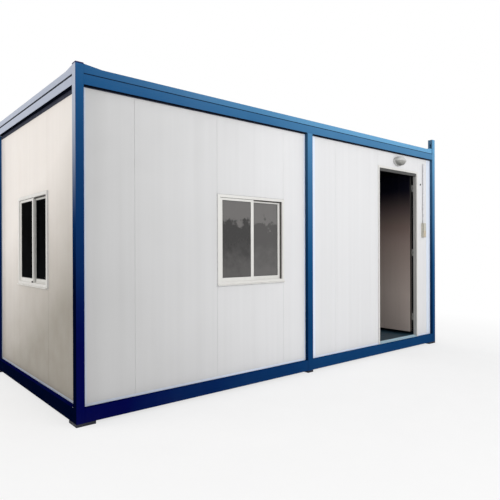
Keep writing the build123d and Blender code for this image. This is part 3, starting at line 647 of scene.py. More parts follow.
# Lengths are in metres. A pair gives where an effect starts, and where it is full.
GROOVE_HEIGHT = 82 * MM  # middle of the groove over the lower edge of a top rail
SKIN_DEPTH = 67 * MM  # from the outside of the building to behind the outer skins
EDGE_PROFILE = 1.8 * MM  # from a face of the leaf to its edge profile
FACES_END = (-0.5, -0.85)  # X of a normal that faces the window end
FACES_DOWN = (-0.3, -0.7)  # Z of a normal that faces down
AT_END = (-2.2, -2.4)  # X at the window end
SKY_SHEEN_HEIGHTS = (1.45, 2.62)  # Z of the painted sky sheen on the window end
SHADED = (1.7, 0.9)  # Z of the painted shade on the window end
LEAF_LIGHT_FADES = (0.7, 1.6)  # Z where the painted floor light on the leaf gives way to its middle colour
LEAF_SHADE_HEIGHTS = (1.35, 2.15)  # Z where painted shade turns the leaf dark towards its head
SKY_REFLECTION_TOP = (1.54, 1.60)  # Z of the painted sky reflection across the top of the front panes
GROUND_REFLECTION_FOOT = (1.42, 1.05)  # Z of the fainter painted ground reflection at their foot
DUST_FOOT = (1.6, 0.9)  # Z of the dust on the end panes
FAR_FLOOR = (2.8, 6.0)  # distance from the middle at which the floor shows white


def make_blue_enamel(name, groove=None, cap=None):
    """Enamel with painted light: deep navy as painted shade near the ground, paler as a painted sky
    reflection with the square of the height and towards the door end, nearly black as painted shade on
    undersides, and a pale painted sky sheen high on the faces at the window end, with painted shade low on
    that end and on faces towards it. Painted shade darkens a groove of the given low and high edge and the
    rail ends beside the posts, over a painted step lighter above the groove, and a painted shade band darkens
    the top of what ends at the given cap height."""
    net = Finish(name, Specular_IOR_Level=0.0, Coat_Roughness=0.15, Coat_IOR=1.5)
    x, y, z = net.axes()
    along = net.remap(x, LEFT, RIGHT)
    height = net.remap(z, 0.0, ROOF_TOP)
    # Painted sky reflection, stronger with height and towards the door end, over painted shade near the
    # ground
    sky = net.times(net.times(height, height), net.add(net.times(along, 0.44), 0.28))
    tone = net.add(net.remap(along, 0.05, 0.55, 0.0, 0.15), sky)
    tone = net.add(tone, net.uneven(0.10, 1.3, 4), clamp=True)
    # Painted light: lighter above the groove and darker below it
    if groove:
        tone = net.add(tone, net.times(net.remap(z, *groove, -0.24, 0.20), along), clamp=True)
    # Painted shade low down and painted sky reflection high up
    lower = net.mix(net.remap(tone, 0.0, 0.25), tint("enamel_low"), tint("enamel_mid"))
    base = net.mix(net.remap(tone, 0.25, 0.9), lower, tint("enamel_high"))
    facing_x, _, facing_z = net.node("SeparateXYZ", {0: net.node("NewGeometry")["Normal"]})
    faces_end = net.remap(facing_x, *FACES_END)
    window_end = net.times(faces_end, net.remap(x, *AT_END))
    # Painted sky sheen high on the faces at the window end
    sky_sheen = net.times(window_end, net.remap(z, *SKY_SHEEN_HEIGHTS, smooth=True))
    # Painted shade low on the window end, and on faces towards it elsewhere
    shade = net.times(window_end, net.remap(z, *SHADED, smooth=True))
    end_facing_shade = net.times(faces_end, net.remap(x, *reversed(AT_END)))
    base = net.mix(sky_sheen, base, tint("enamel_sky_sheen"))
    base = net.mix(shade, base, tint("enamel_shade"))
    base = net.mix(net.times(end_facing_shade, 0.6), base, tint("enamel_shade"))
    # Painted shade on undersides
    base = net.mix(net.remap(facing_z, *FACES_DOWN), base, tint("enamel_under_shade"))
    # Painted shade: a dark band just under the cap height on the posts at the window end side
    if cap:
        top_shade = net.times(net.remap(z, cap - 12 * MM, cap - 10 * MM), net.math("LESS_THAN", x, 0.0))
        base = net.mix(top_shade, base, tint("enamel_top_shade"))
    # Painted shade in the groove and at the rail ends beside the posts
    if groove:
        low_edge = net.remap(window_end, 0.0, 1.0, groove[0], groove[0] - 10 * MM)
        inside = net.times(net.math("GREATER_THAN", z, low_edge), net.math("LESS_THAN", z, groove[1]))
        groove_shade = net.times(inside, net.remap(window_end, 0.0, 1.0, 0.5, 0.95))
        past_rail = net.math("GREATER_THAN", net.math("ABSOLUTE", y), REAR - POST_WIDTH - 7 * MM)
        rail_end_shade = net.times(net.times(past_rail, window_end), 0.6)
        base = net.mix(net.math("MAXIMUM", groove_shade, rail_end_shade), base, tint("enamel_under_shade"))
    net.feed(Base_Color=net.weathered(base, 0.15, 0.02), Coat_Weight=net.remap(tone, 0.1, 0.9, 0.0, 0.25))
    net.bump(net.grain(260.0, 0.3, 0.45), 0.12, 0.0006, corner=0.003)


def make_panel_skin(name, shade, bright, start, along, gloss):
    """Painted sheet skin: slow waves, faint upright bands, and painted light and shade that change across the
    wall.
    """
    net = Finish(name, Specular_IOR_Level=0.3, Coat_Roughness=0.25, Coat_IOR=1.45)
    tone = net.tone(shade, bright, start, along)
    bands = net.remap(net.noise(net.place((14, 14, 0.12)), 1.0, 2), 0.3, 0.7, 0.965, 1.0)
    outside = net.mix(1.0, net.weathered(tone["Colour"], 0.42, 0.06), net.grey(bands), "MULTIPLY")
    inside = {"Half Length": RIGHT - SKIN_DEPTH, "Half Width": REAR - SKIN_DEPTH}
    # Painted shade inside the walls
    base = net.mix(net.group("Indoors", inside)["Mask"], outside, tint("indoors"))
    net.feed(Base_Color=base, Coat_Weight=net.remap(tone["Mask"], 0.0, 1.0, *gloss))
    net.grain(500.0, 0.38, 0.5)
    net.bump(net.waves(1.6, 0.15), 0.25, 0.006, corner=0.0015)


def make_coats():
    """Powder coat of the windows and door frame with a little grime, and the pale coat of the strips beside
    the posts, greyer with painted shade at the window end."""
    frames = Finish("white_coat", Specular_IOR_Level=0.45)
    frames.feed(Base_Color=frames.weathered(tint("aluminium"), 0.4, 0.12))
    strips = Finish("strip_coat", Specular_IOR_Level=0.3)
    # Painted shade: the strips turn greyer towards the window end
    strips.feed(Base_Color=strips.tone("trim_shade", "trim", 1.5, (0.6, 0.0, 0.0))["Colour"])
    for net in (frames, strips):
        net.bump(net.grain(900.0, 0.32, 0.46), 0.1, 0.0004, corner=0.0012)


def make_zinc(name, shine):
    """Galvanised steel: spangles of different greys from a cell pattern, dull and slightly streaked."""
    net = Finish(name, Metallic=0.85)
    cells = net.node("TexVoronoi", {"Vector": net.place(), "Scale": 55.0})["Color"]
    spangle = net.remap(net.node("SeparateColor", {0: cells})[0], 0, 1)
    base = net.mix(spangle, tint("zinc", 0.62 * shine), tint("zinc", shine))
    net.feed(Base_Color=net.weathered(base, 0.3, 0.25), Roughness=net.remap(spangle, 0, 1, 0.38, 0.52))
    net.bump(spangle, 0.05, 0.0005, corner=0.001)


def make_brushed(name, base, scales, metallic):
    """Brushed metal with lines along its long axis."""
    net = Finish(name, Metallic=metallic)
    brush = net.group("Brushed", {f"Scale {axis}": scale for axis, scale in zip("XYZ", scales)})
    lined = net.mix(net.remap(brush["Height"], 0.3, 0.7), tint(base, 0.72), tint(base))
    net.feed(Base_Color=lined, Roughness=brush["Roughness"])
    net.bump(brush["Height"], 0.1, 0.0003, corner=0.0008)


def make_leaf_coat():
    """Door leaf: brown grey skin, pale with painted light near the floor and nearly black with painted shade
    towards the head of the opening, and a dark edge profile between the two faces."""
    net = Finish("leaf_coat", Specular_IOR_Level=0.25)
    x, _, z = net.axes()
    # Painted light near the floor, painted shade towards the head
    rise = net.add(net.remap(z, *LEAF_LIGHT_FADES), net.uneven(0.25, 1.5, 4), clamp=True)
    lower = net.mix(rise, tint("leaf_floor_light"), tint("leaf_mid_shade"))
    skin = net.mix(net.remap(z, *LEAF_SHADE_HEIGHTS, smooth=True), lower, tint("leaf_head_shade"))
    face_low, face_high = (corner.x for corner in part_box("door_leaf"))
    off_centre = net.math("ABSOLUTE", net.math("SUBTRACT", x, (face_low + face_high) / 2))
    between = net.math("LESS_THAN", off_centre, (face_high - face_low) / 2 - EDGE_PROFILE)
    net.feed(Base_Color=net.weathered(net.mix(between, skin, tint("leaf_edge")), 0.4, 0.2))
    net.grain(350.0, 0.4, 0.55)
    net.bump(net.waves(2.5, 0.3), 0.2, 0.004, corner=0.0012)


def make_flooring():
    """Sheet flooring: speckle, long scuffs, and dust trodden in."""
    net = Finish("sheet_flooring", Specular_IOR_Level=0.35)
    speckle = net.remap(net.noise(net.place(), 260.0, 1), 0.42, 0.6)
    scuffs = net.remap(net.noise(net.place((3, 30, 1)), 2.0, 6, 0.7), 0.5, 0.75)
    speckled = net.mix(speckle, tint("floor"), tint("floor", 0.55))
    scuffed = net.mix(net.times(scuffs, 0.5), speckled, tint("floor", 1.35))
    net.feed(Base_Color=scuffed, Roughness=net.remap(scuffs, 0, 1, 0.3, 0.55))
    net.bump(speckle, 0.08, 0.0004)


def make_shaded_end_pane():
    """Pane with painted deep shade: nearly black and almost without reflection, with a faint dusty bloom that
    thickens towards its foot.
    """
    net = Finish("end_pane", Specular_IOR_Level=0.0, Coat_Weight=0.012, Coat_Roughness=0.03)
    bloom = net.times(net.remap(net.noise(net.place(), 7.0, 5), 0.4, 0.7), 0.5)
    foot = net.remap(net.axes()[2], *DUST_FOOT, 0.0, 0.5, smooth=True)
    base = net.mix(net.add(bloom, foot, clamp=True), tint("end_glass_dust_and_shade", 0.15), tint("end_glass_dust_and_shade"))
    net.feed(Base_Color=base, Roughness=net.remap(bloom, 0.0, 0.5, 0.04, 0.2))


def make_front_pane():
    """Window pane: dark glass with a painted reflection, a cloudy band of painted sky across the top and
    fainter painted ground at its foot, and lighter past the middle of the window."""
    net = Finish("front_pane", Transmission_Weight=0.25, IOR=1.45, Specular_IOR_Level=0.5, Roughness=0.03)
    x, _, z = net.axes()
    line = net.add(z, net.uneven(0.6, 9.0, 5, 0.6))
    upper = net.remap(line, *SKY_REFLECTION_TOP, smooth=True)
    lower = net.remap(line, *GROUND_REFLECTION_FOOT, 0.0, 0.5, smooth=True)
    reflected = net.mix(net.math("MAXIMUM", upper, lower), tint("glass", 0.22), tint("glass"))
    low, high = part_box("front_window_frame")
    right_pane = net.math("GREATER_THAN", x, (low.x + high.x) / 2)
    net.feed(Base_Color=net.mix(net.times(right_pane, 0.3), reflected, tint("glass", 1.25)))


def make_frosted_lens():
    """Ribbed frosted lens: milky and slightly see-through, greyer with painted shade towards its lower edge.
    """
    net = Finish("frosted_lens", Transmission_Weight=0.25, IOR=1.45, Roughness=0.35)
    low, high = (corner.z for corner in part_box("lamp_lens"))
    # Painted shade on the lower part of the lens
    rise = net.remap(net.axes()[2], low, low + 0.8 * (high - low), smooth=True)
    blotch = net.times(net.noise(net.place(), 60.0, 3), 0.25)
    share = net.add(rise, blotch, clamp=True)
    net.feed(Base_Color=net.mix(share, tint("lamp_lens", 0.40), tint("lamp_lens")))
    net.bump(net.noise(net.place(), 320.0, 1), 0.12, 0.0006, corner=0.0008)


def make_moulded(name, base, roughness, amount, corner):
    """Moulded plastic or rubber: fine spark texture, faint blotches and some grime."""
    net = Finish(name, Specular_IOR_Level=0.4)
    blotches = net.remap(net.noise(net.place(), 35.0, 4), 0.35, 0.65)
    net.feed(Base_Color=net.weathered(net.mix(blotches, tint(base, 0.82), tint(base)), 0.3, amount))
    net.bump(net.grain(1200.0, roughness - 0.08, roughness + 0.08), 0.15, 0.0003, corner=corner)


# Colours of each panel skin in painted shade and in painted light, where the painted light starts, its slopes
# along X, Y and Z, and the coat in shade and in light
PANEL_SKINS = {
    "skin_front": ("skin_shade", "skin_front", 1.08, (0.45, 0.0, 0.0), (0.05, 0.4)),
    "skin_end": ("skin_end_shade", "skin_end", -0.31, (0.0, 0.34, 0.72), (0.0, 0.5)),
    "skin_plain": ("skin_shade", "skin_plain", 0.5, (0.0, 0.0, 0.2), (0.1, 0.4)),
}

# Colour, roughness, amount of dirt and corner radius of each moulded finish
MOULDED = {
    "lamp_housing": ("lamp_grey", 0.45, 0.2, 0.001),
    "conduit_pipe": ("pipe", 0.4, 0.2, 0.001),
    "box_shell": ("box", 0.45, 0.2, 0.001),
    "tan_cover": ("tan_cover", 0.45, 0.2, 0.001),
    "seal_rubber": ("rubber", 0.6, 0.15, 0.0),
    "pad_rubber": ("pad", 0.7, 0.0, 0.006),
    "track_pile": ("track", 0.9, 0.05, 0.0),
    "foam_strip": ("foam", 0.8, 0.05, 0.0),
    "grey_seal": ("grey_seal", 0.6, 0.1, 0.0),
    "silicone": ("sealant", 0.42, 0.5, 0.0),
}


class BUNKHOUSE_OT_finishes(bpy.types.Operator):
    """Make every finish of the building"""

    bl_idname = "bunkhouse.finishes"
    bl_label = "Make Finishes"

    def execute(self, context):
        # Painted shade band at the tops of the posts
        make_blue_enamel("blue_enamel", cap=POST_TOP)
        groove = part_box("top_rails_long")[0].z + GROOVE_HEIGHT
        make_blue_enamel("rail_enamel", groove=(groove - 6 * MM, groove + 5 * MM))
        for name, values in PANEL_SKINS.items():
            make_panel_skin(name, *values)
        make_coats()
        # Painted reflection: the sill's pale blue stands for reflected sky
        make_brushed("sill_plate", "sill", (12.0, 700.0, 700.0), 0.0)
        make_brushed("brushed_steel", "steel", (700.0, 700.0, 20.0), 0.9)
        make_leaf_coat()
        make_flooring()
        make_zinc("zinc_sheet", 1.0)
        make_zinc("zinc_fixing", 1.1)
        make_front_pane()
        make_shaded_end_pane()
        make_frosted_lens()
        for name, values in MOULDED.items():
            make_moulded(name, *values)
        return {"FINISHED"}


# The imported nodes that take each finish
NODES_OF_FINISH = {
    "blue_enamel": (
        "corner_post_front_left", "corner_post_front_right", "corner_post_rear_left",
        "corner_post_rear_right", "lifting_heads", "mid_posts", "base_rails_long", "base_rails_short",
    ),
    "rail_enamel": ("top_rails_long", "top_rails_short"),
    "pad_rubber": ("foot_pads",),
    "zinc_sheet": ("floor_joists", "roof_purlins", "roof_sheet"),
    "sheet_flooring": ("floor_deck",),
    "skin_plain": ("ceiling_panel", "right_panels", "rear_panels"),
    "skin_front": (
        "front_panel_corner_left", "front_panel_plain_left", "front_window_infill", "front_panel_mid_left",
        "front_panel_mid_right", "front_panel_plain_right", "front_panel_over_door",
        "front_panel_corner_right",
    ),
    "skin_end": ("left_panel_front", "left_panel_rear", "left_window_infill"),
    "strip_coat": ("panel_trims",),
    "white_coat": (
        "front_window_frame", "front_window_sashes", "left_window_frame", "left_window_sashes", "door_frame",
    ),
    "front_pane": ("front_window_glass",),
    "end_pane": ("left_window_glass",),
    "sill_plate": ("door_threshold",),
    "brushed_steel": ("frame_hinges", "leaf_hinges", "door_handle"),
    "leaf_coat": ("door_leaf",),
    "lamp_housing": ("lamp_base",),
    "frosted_lens": ("lamp_lens",),
    "conduit_pipe": ("conduit",),
    "box_shell": ("power_box",),
}


class BUNKHOUSE_OT_dress_nodes(bpy.types.Operator):
    """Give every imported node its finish"""

    bl_idname = "bunkhouse.dress_nodes"
    bl_label = "Dress Packed Nodes"

    def execute(self, context):
        for finish, nodes in NODES_OF_FINISH.items():
            for node in nodes:
                materials = NODES[node].data.materials
                materials.clear()
                materials.append(bpy.data.materials[finish])
        return {"FINISHED"}


# Pieces


class BUNKHOUSE_OT_window_gaskets(bpy.types.Operator):
    """Glazing gaskets round the panes, on both faces"""

    bl_idname = "bunkhouse.window_gaskets"
    bl_label = "Window Gaskets"

    def execute(self, context):
        width = context.scene.bunkhouse_fittings.gasket_width
        bite, lap = 9 * MM, 0.3 * MM
        profile = np.array(((-lap, 0.0), (-lap, width * 0.6), (width * 0.5, width * 0.5), (width, 0.0)))
        for wall in WINDOW_WALLS:
            loops = []
            for (left, right, bottom, top), (front, back) in pane_places(wall):
                sight = (left + bite, right - bite, bottom + bite, top - bite)
                loops.append(loop_frame(wall, sight, profile, front))
                loops.append(loop_frame(wall, sight, profile * (1, -1), back))
            add_piece(f"{wall}_window_gaskets", loops, "seal_rubber")
        return {"FINISHED"}


class BUNKHOUSE_OT_sealant(bpy.types.Operator):
    """Hand-run sealant beads round the window frames"""

    bl_idname = "bunkhouse.sealant"
    bl_label = "Sealant Beads"

    def execute(self, context):
        width = context.scene.bunkhouse_fittings.sealant_width
        profile = ((0.0, 0.0), (-width, 0.0), (-width * 0.55, width * 0.5), (0.0, width * 0.8))
        for wall in WINDOW_WALLS:
            along, _, height = wall_span(f"{wall}_window_frame", wall)
            face = face_depth(f"{wall}_window_infill", wall)
            bead = loop_frame(wall, (*along, *height), profile, face, stations=60, wobble=0.18)
            add_piece(f"{wall}_window_sealant", [bead], "silicone")
        return {"FINISHED"}


class BUNKHOUSE_OT_shadow_foam_strips(bpy.types.Operator):
    """Dark foam strips that close the gap between the panels and the top rails, sized and darkened as painted
    shadow of the rails on the panels
    """

    bl_idname = "bunkhouse.foam_strips"
    bl_label = "Foam Strips"

    def execute(self, context):
        fittings = context.scene.bunkhouse_fittings
        top = wall_span("front_window_infill", "front")[2][1]
        strips = []
        for wall in WALLS:
            face = face_depth("panel_trims", wall)
            reach = fittings.shadow_foam_end if wall in END_WALLS else fittings.shadow_foam_side
            for bay in wall_bays(wall):
                # Dark strip as painted shadow under the top rail
                strips.append(wall_bar(wall, bay, (face - 5 * MM, face + 2 * MM), (top - reach, top), 2 * MM))
        add_piece("foam_strips", strips, "foam_strip")
        return {"FINISHED"}


class BUNKHOUSE_OT_cover_strips(bpy.types.Operator):
    """Wider pale strips right of the front posts"""

    bl_idname = "bunkhouse.cover_strips"
    bl_label = "Cover Strips"

    def execute(self, context):
        fittings = context.scene.bunkhouse_fittings
        _, (face, _), height = wall_span("panel_trims", "front")
        depth = (face - 0.5 * MM, face + 1.5 * MM)
        strips = [
            wall_bar("front", (start, start + width), depth, height, 0.4 * MM, upright=True)
            for (start, _), width in zip(wall_bays("front"), (fittings.cover_corner, fittings.cover_middle))
        ]
        add_piece("cover_strips", strips, "strip_coat")
        return {"FINISHED"}


class BUNKHOUSE_OT_trim_rivets(bpy.types.Operator):
    """Rivets down the strips beside the posts"""

    bl_idname = "bunkhouse.trim_rivets"
    bl_label = "Trim Rivets"

    def execute(self, context):
        pitch = context.scene.bunkhouse_fittings.rivet_pitch
        head = turned(RIVET_HEAD, 12, 3.2 * MM)
        from_side, from_foot, from_top = 10 * MM, 50 * MM, 70 * MM
        rivets = []
        for wall in WALLS:
            _, (face, _), (low, high) = wall_span("panel_trims", wall)
            first, last = low + from_foot, high - from_top
            heights = np.linspace(first, last, int((last - first) // pitch) + 1)
            lift = 0.5 * MM if wall == "front" else 0.0
            for start, end in wall_bays(wall):
                along = np.array((start + from_side, end - from_side))[:, None]
                rivets.append(on_wall(head, wall, along, face - lift, heights))
        add_piece("trim_rivets", rivets, "strip_coat")
        return {"FINISHED"}


class BUNKHOUSE_OT_weld_beads(bpy.types.Operator):
    """Weld beads where the rails meet the posts"""

    bl_idname = "bunkhouse.weld_beads"
    bl_label = "Weld Beads"

    def execute(self, context):
        radius = context.scene.bunkhouse_fittings.bead_radius
        steps, sides, margin, sunk = 22, 8, 3 * MM, 2.2 * MM
        plain_face = 74 * MM  # of a top rail, under its groove
        swell = radius * (1 + 0.18 * np.sin(np.arange(steps) * 1.9))
        beads = []
        for wall in WALLS:
            kind = "short" if wall in END_WALLS else "long"
            bays = wall_bays(wall)
            for rails in ("base_rails", "top_rails"):
                _, (face, _), (low, high) = wall_span(f"{rails}_{kind}", wall)
                if rails == "top_rails":
                    high = low + plain_face
                heights = np.linspace(low + margin, high - margin, steps)
                for edge in (bays[0][0], bays[-1][1]):
                    centres = wall_points(wall, edge, face + sunk, heights)
                    beads.append(tube(centres, swell, sides, inwards(wall)))
        add_piece("weld_beads", beads, "blue_enamel")
        return {"FINISHED"}


class BUNKHOUSE_OT_door_fittings(bpy.types.Operator):
    """Seal under the door head, grey as painted shade in the head's rebate, lock cylinders, and the screws of
    the handle plates
    """

    bl_idname = "bunkhouse.door_fittings"
    bl_label = "Door Fittings"

    def execute(self, context):
        fittings = context.scene.bunkhouse_fittings
        _, (face, _), (_, head) = wall_span("door_frame", "front")
        left, right = wall_span("door_threshold", "front")[0]
        casing_above_sight, behind_casing = 54 * MM, 14 * MM
        top = head - casing_above_sight
        # Grey seal as painted shade in the head's rebate
        seal = wall_bar(
            "front", (left - behind_casing, right + behind_casing), (face + 8 * MM, face + 18 * MM),
            (top - fittings.head_seal, top + 1 * MM), 2 * MM,
        )
        add_piece("door_head_seal", [seal], "grey_seal")
        leaf_floor_light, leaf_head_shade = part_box("door_leaf")
        handle_low, handle_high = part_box("door_handle")
        lever = (handle_low.z + handle_high.z) / 2
        plate_y = handle_high.y - 20 * MM
        plate_thickness, cylinder_drop, screw_reach = 6 * MM, 72 * MM, 94 * MM
        cylinder = turned(((9.0, -1.0), (9.0, 1.6), (8.2, 2.2), (3.4, 2.2), (3.2, 0.9)), 24, MM)
        screw = turned(PAN_HEAD, 14, fittings.screw_radius)
        locks = []
        for way, face_x in ((-1, leaf_floor_light.x), (1, leaf_head_shade.x)):
            x, outwards = face_x + way * plate_thickness, (way, 0, 0)
            locks.append(copies(cylinder, (x, plate_y, lever - cylinder_drop), outwards))
            ends = [(x, plate_y, lever + offset) for offset in (-screw_reach, screw_reach)]
            locks.append(copies(screw, ends, outwards, (0.4, 1.1)))
        add_piece("lock_cylinders", locks, "brushed_steel", body="door")
        return {"FINISHED"}


class BUNKHOUSE_OT_window_fittings(bpy.types.Operator):
    """Drain caps on the sills, pull handles indoors, and the dark stop at the foot of the end window"""

    bl_idname = "bunkhouse.window_fittings"
    bl_label = "Window Fittings"

    def execute(self, context):
        cap = rounded_box(26 * MM, 7 * MM, 2.5 * MM, 2 * MM)
        pull = rounded_box(14 * MM, 90 * MM, 9 * MM, 5 * MM)
        stop = rounded_box(12 * MM, 16 * MM, 9 * MM, 2.5 * MM)
        caps, pulls = [], []
        for wall in WINDOW_WALLS:
            (left, right), (face, _), (foot, _) = wall_span(f"{wall}_window_frame", wall)
            drains = left + np.array((0.22, 0.78)) * (right - left)
            caps.append(on_wall(cap, wall, drains, face, foot + 13 * MM))
            (left, _), (_, back), height = wall_span(f"{wall}_window_sashes", wall)
            pulls.append(on_wall(pull, wall, left + 13 * MM, back, height.mean(), way=1))
        add_piece("drain_caps", caps, "white_coat")
        add_piece("window_pulls", pulls, "seal_rubber")
        along, (face, _), (foot, _) = wall_span("left_window_sashes", "left")
        foot_stop = on_wall(stop, "left", along.mean(), face - 1 * MM, foot + 7 * MM)
        add_piece("window_stop", [foot_stop], "seal_rubber")
        return {"FINISHED"}


class BUNKHOUSE_OT_track_shadow_strips(bpy.types.Operator):
    """Dark pile strips in the track beside and over the rear sash, and the line over the front sash, their
    dark also painted shadow in the gaps
    """

    bl_idname = "bunkhouse.track_strips"
    bl_label = "Window Track Strips"

    def execute(self, context):
        gap, fin, stile_past_pane, half_sash = 0.3 * MM, 10 * MM, 25 * MM, 9 * MM
        for wall in WINDOW_WALLS:
            (left, right), _, (foot, head) = wall_span(f"{wall}_window_sashes", wall)
            (front_span, front_depth), (_, rear_depth) = pane_places(wall)
            front_end = front_span[1] + stile_past_pane
            front_face = sum(front_depth) / 2 - half_sash
            fin_face = sum(rear_depth) / 2 - half_sash - 4 * MM
            pile = (fin_face - 10 * MM, fin_face)
            line = (front_face - 1.2 * MM, front_face + gap)
            # Pile strips, dark as painted shadow in the gaps round the sashes
            strips = (
                wall_bar(wall, (right - fin, right + gap), pile, (foot, head + gap), upright=True),
                wall_bar(wall, (front_end + 2 * MM, right), pile, (head - fin, head + gap)),
                wall_bar(wall, (left, front_end), line, (head - 2.4 * MM, head + gap), 0.3 * MM),
            )
            add_piece(f"{wall}_track_strips", strips, "track_pile")
        return {"FINISHED"}


class BUNKHOUSE_OT_power_covers(bpy.types.Operator):
    """Two screwed covers on the power box"""

    bl_idname = "bunkhouse.power_covers"
    bl_label = "Power Box Covers"

    def execute(self, context):
        (left, right), (face, _), (low, high) = wall_span("power_box", "front")
        middle, width, tall = (left + right) / 2, right - left - 10 * MM, (high - low) / 2 - 9 * MM
        cover = rounded_box(width, tall, 2.4 * MM, 4 * MM)
        screw = turned(PAN_HEAD, 12, 2.6 * MM)
        margin = 7 * MM
        corners = np.array(((-1, -1), (1, -1), (-1, 1), (1, 1))) * (width / 2 - margin, tall / 2 - margin)
        screws = []
        for name, share, finish in (("upper", 0.75, "box_shell"), ("lower", 0.25, "tan_cover")):
            centre = low + share * (high - low)
            set_cover = on_wall(cover, "front", middle, face + 0.2 * MM, centre)
            add_piece(f"power_cover_{name}", [set_cover], finish)
            along, height = middle + corners[:, 0], centre + corners[:, 1]
            screws.append(on_wall(screw, "front", along, face - 2.1 * MM, height, (0.3, 1.0, 0.7, 1.4)))
        add_piece("power_screws", screws, "zinc_fixing")
        return {"FINISHED"}


class BUNKHOUSE_OT_roof_screws(bpy.types.Operator):
    """Washered screws through the roof sheet into each purlin"""

    bl_idname = "bunkhouse.roof_screws"
    bl_label = "Roof Screws"

    def execute(self, context):
        fittings = context.scene.bunkhouse_fittings
        sheet_low, sheet_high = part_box("roof_sheet")
        purlin_low, purlin_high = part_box("roof_purlins")
        rows = int((sheet_high.y - sheet_low.y) // fittings.roof_pitch)
        across = (np.arange(rows) - (rows - 1) / 2) * fittings.roof_pitch
        stations = np.linspace(purlin_low.x + 20 * MM, purlin_high.x - 20 * MM, 6)
        station, offset = np.meshgrid(stations, across, indexing="ij")
        valley = np.full_like(station, purlin_high.z + 1.5 * MM)
        places = np.stack((station, offset, valley), axis=-1).reshape(-1, 3)
        radius = fittings.screw_radius * 1.1
        bolt = joined((turned(WASHER, 20, radius), turned(HEX_HEAD, 6, radius)))
        screws = copies(bolt, places, UP, np.arange(len(places)) * 0.9)
        add_piece("roof_screws", [screws], "zinc_fixing")
        return {"FINISHED"}


class BUNKHOUSE_OT_conduit_clips(bpy.types.Operator):
    """Saddle clips over the conduit, and the small dark clip beside it"""

    bl_idname = "bunkhouse.conduit_clips"
    bl_label = "Conduit Clips"

    def execute(self, context):
        pitch = context.scene.bunkhouse_fittings.clip_pitch
        (left, right), (pipe_front, _), (low, high) = wall_span("conduit", "front")
        face = face_depth("front_panel_corner_right", "front")
        thickness, half_width, lug = 1.5 * MM, 7 * MM, 12 * MM
        radius, centre = (right - left) / 2, (left + right) / 2
        reach = radius + thickness
        bend = np.linspace(0, math.pi, 13)
        arc = np.stack((np.cos(bend), -np.sin(bend)), axis=-1)
        axis = (0.0, pipe_front + radius)
        foot = np.array(((reach + lug, face), (reach + lug, face - thickness), (reach, face - thickness)))
        other_foot = foot[::-1] * (-1, 1)
        outside = (foot, axis + reach * arc, other_foot)
        inside = ([(-radius, face)], axis + radius * arc[::-1], [(radius, face)])
        outline = np.concatenate(outside + inside) + (centre, 0.0)
        screw = turned(PAN_HEAD, 14, 3 * MM)
        screw_along = centre + np.array((1, -1)) * (reach + lug / 2)
        count = max(1, int((high - low) // pitch))
        clips = []
        for station in low + (np.arange(count) + 0.5) * (high - low) / count:
            edges = station + np.array(((-half_width,), (half_width,)))
            strap = wall_points("front", outline[:, 0], outline[:, 1], edges)
            clips.append((strap.reshape(-1, 3), strap_faces(len(outline))))
            clips.append(on_wall(screw, "front", screw_along, face - thickness, station))
        add_piece("conduit_clips", clips, "conduit_pipe")
        clip_aside, clip_height = 58 * MM, 2.18
        clip = rounded_box(15 * MM, 20 * MM, 9 * MM, 3 * MM)
        wall_clip = on_wall(clip, "front", centre - clip_aside, face, clip_height)
        add_piece("wall_clip", [wall_clip], "seal_rubber")
        return {"FINISHED"}


# Stage


class BUNKHOUSE_OT_stage(bpy.types.Operator):
    """Pale floor, soft studio light and the camera"""

    bl_idname = "bunkhouse.stage"
    bl_label = "Stage, Light and Camera"

    def execute(self, context):
        stage = context.scene.bunkhouse_stage
        make_floor(stage)
        make_world(context.scene, stage)
        add_lamp("key_lamp", (1.5, -9.5, 4.5), (0.8, -1.0, 1.2), 6.0, stage.key_power)
        add_lamp("fill_lamp", (-6.0, -8.0, 2.5), (1.5, -1.0, 1.2), 3.0, stage.fill_power)
        add_lamp("end_lamp", (-8.0, 2.5, 4.5), (-2.5, 0.6, 1.8), 3.5, stage.end_power, (1.0, 0.95, 0.9))
        add_lamp("back_lamp", (2.0, 9.0, 6.0), (0.0, 1.0, 1.2), 6.0, stage.back_power)
        make_camera(context.scene, stage)
        return {"FINISHED"}


def make_floor(stage):
    """Floor grid, flat, denser than one quad so that its shading stays even. It is matte near the building
    and shows white far from it."""
    lines = 9
    side = np.linspace(-stage.floor_side / 2, stage.floor_side / 2, lines)
    points = np.stack(np.meshgrid(side, side, 0.0, indexing="ij"), axis=-1).reshape(-1, 3)
    mesh = bpy.data.meshes.new("floor")
    mesh.from_pydata(points.tolist(), [], grid_faces(lines, lines)[0][:, ::-1].tolist())
    floor = bpy.data.objects.new("floor", mesh)
    bpy.context.scene.collection.objects.link(floor)
    material = bpy.data.materials.new("pale_floor")
    material.use_nodes = True
    net = Net(material.node_tree)
    net.tree.nodes.clear()
    distance = net.node("VectorMath", {0: net.place()}, operation="LENGTH")["Value"]
    far = net.remap(distance, *FAR_FLOOR, 0.68, 1.0, smooth=True)
    mottle = net.remap(net.noise(net.place(), 3.0, 4), 0.3, 0.7, 0.92, 0.95)
    matte = net.node("BsdfDiffuse", {"Color": net.grey(mottle)})[0]
    white = net.node("Emission", {"Color": (1, 1, 1, 1), "Strength": 1.0})[0]
    mixed = net.node("MixShader", {0: net.times(net.seen(), far), 1: matte, 2: white})[0]
    net.node("OutputMaterial", {"Surface": mixed})
    mesh.materials.append(material)


def make_world(scene, stage):
    """Even soft light, seen as white by the camera, by gloss and through glass."""
    world = bpy.data.worlds.new("studio")
    world.use_nodes = True
    net = Net(world.node_tree)
    net.tree.nodes.clear()
    strength = net.remap(net.seen(), 0.0, 1.0, stage.sky_level, 1.0)
    sky = net.node("Background", {"Color": (1, 1, 1, 1), "Strength": strength})[0]
    net.node("OutputWorld", {"Surface": sky})
    scene.world = world


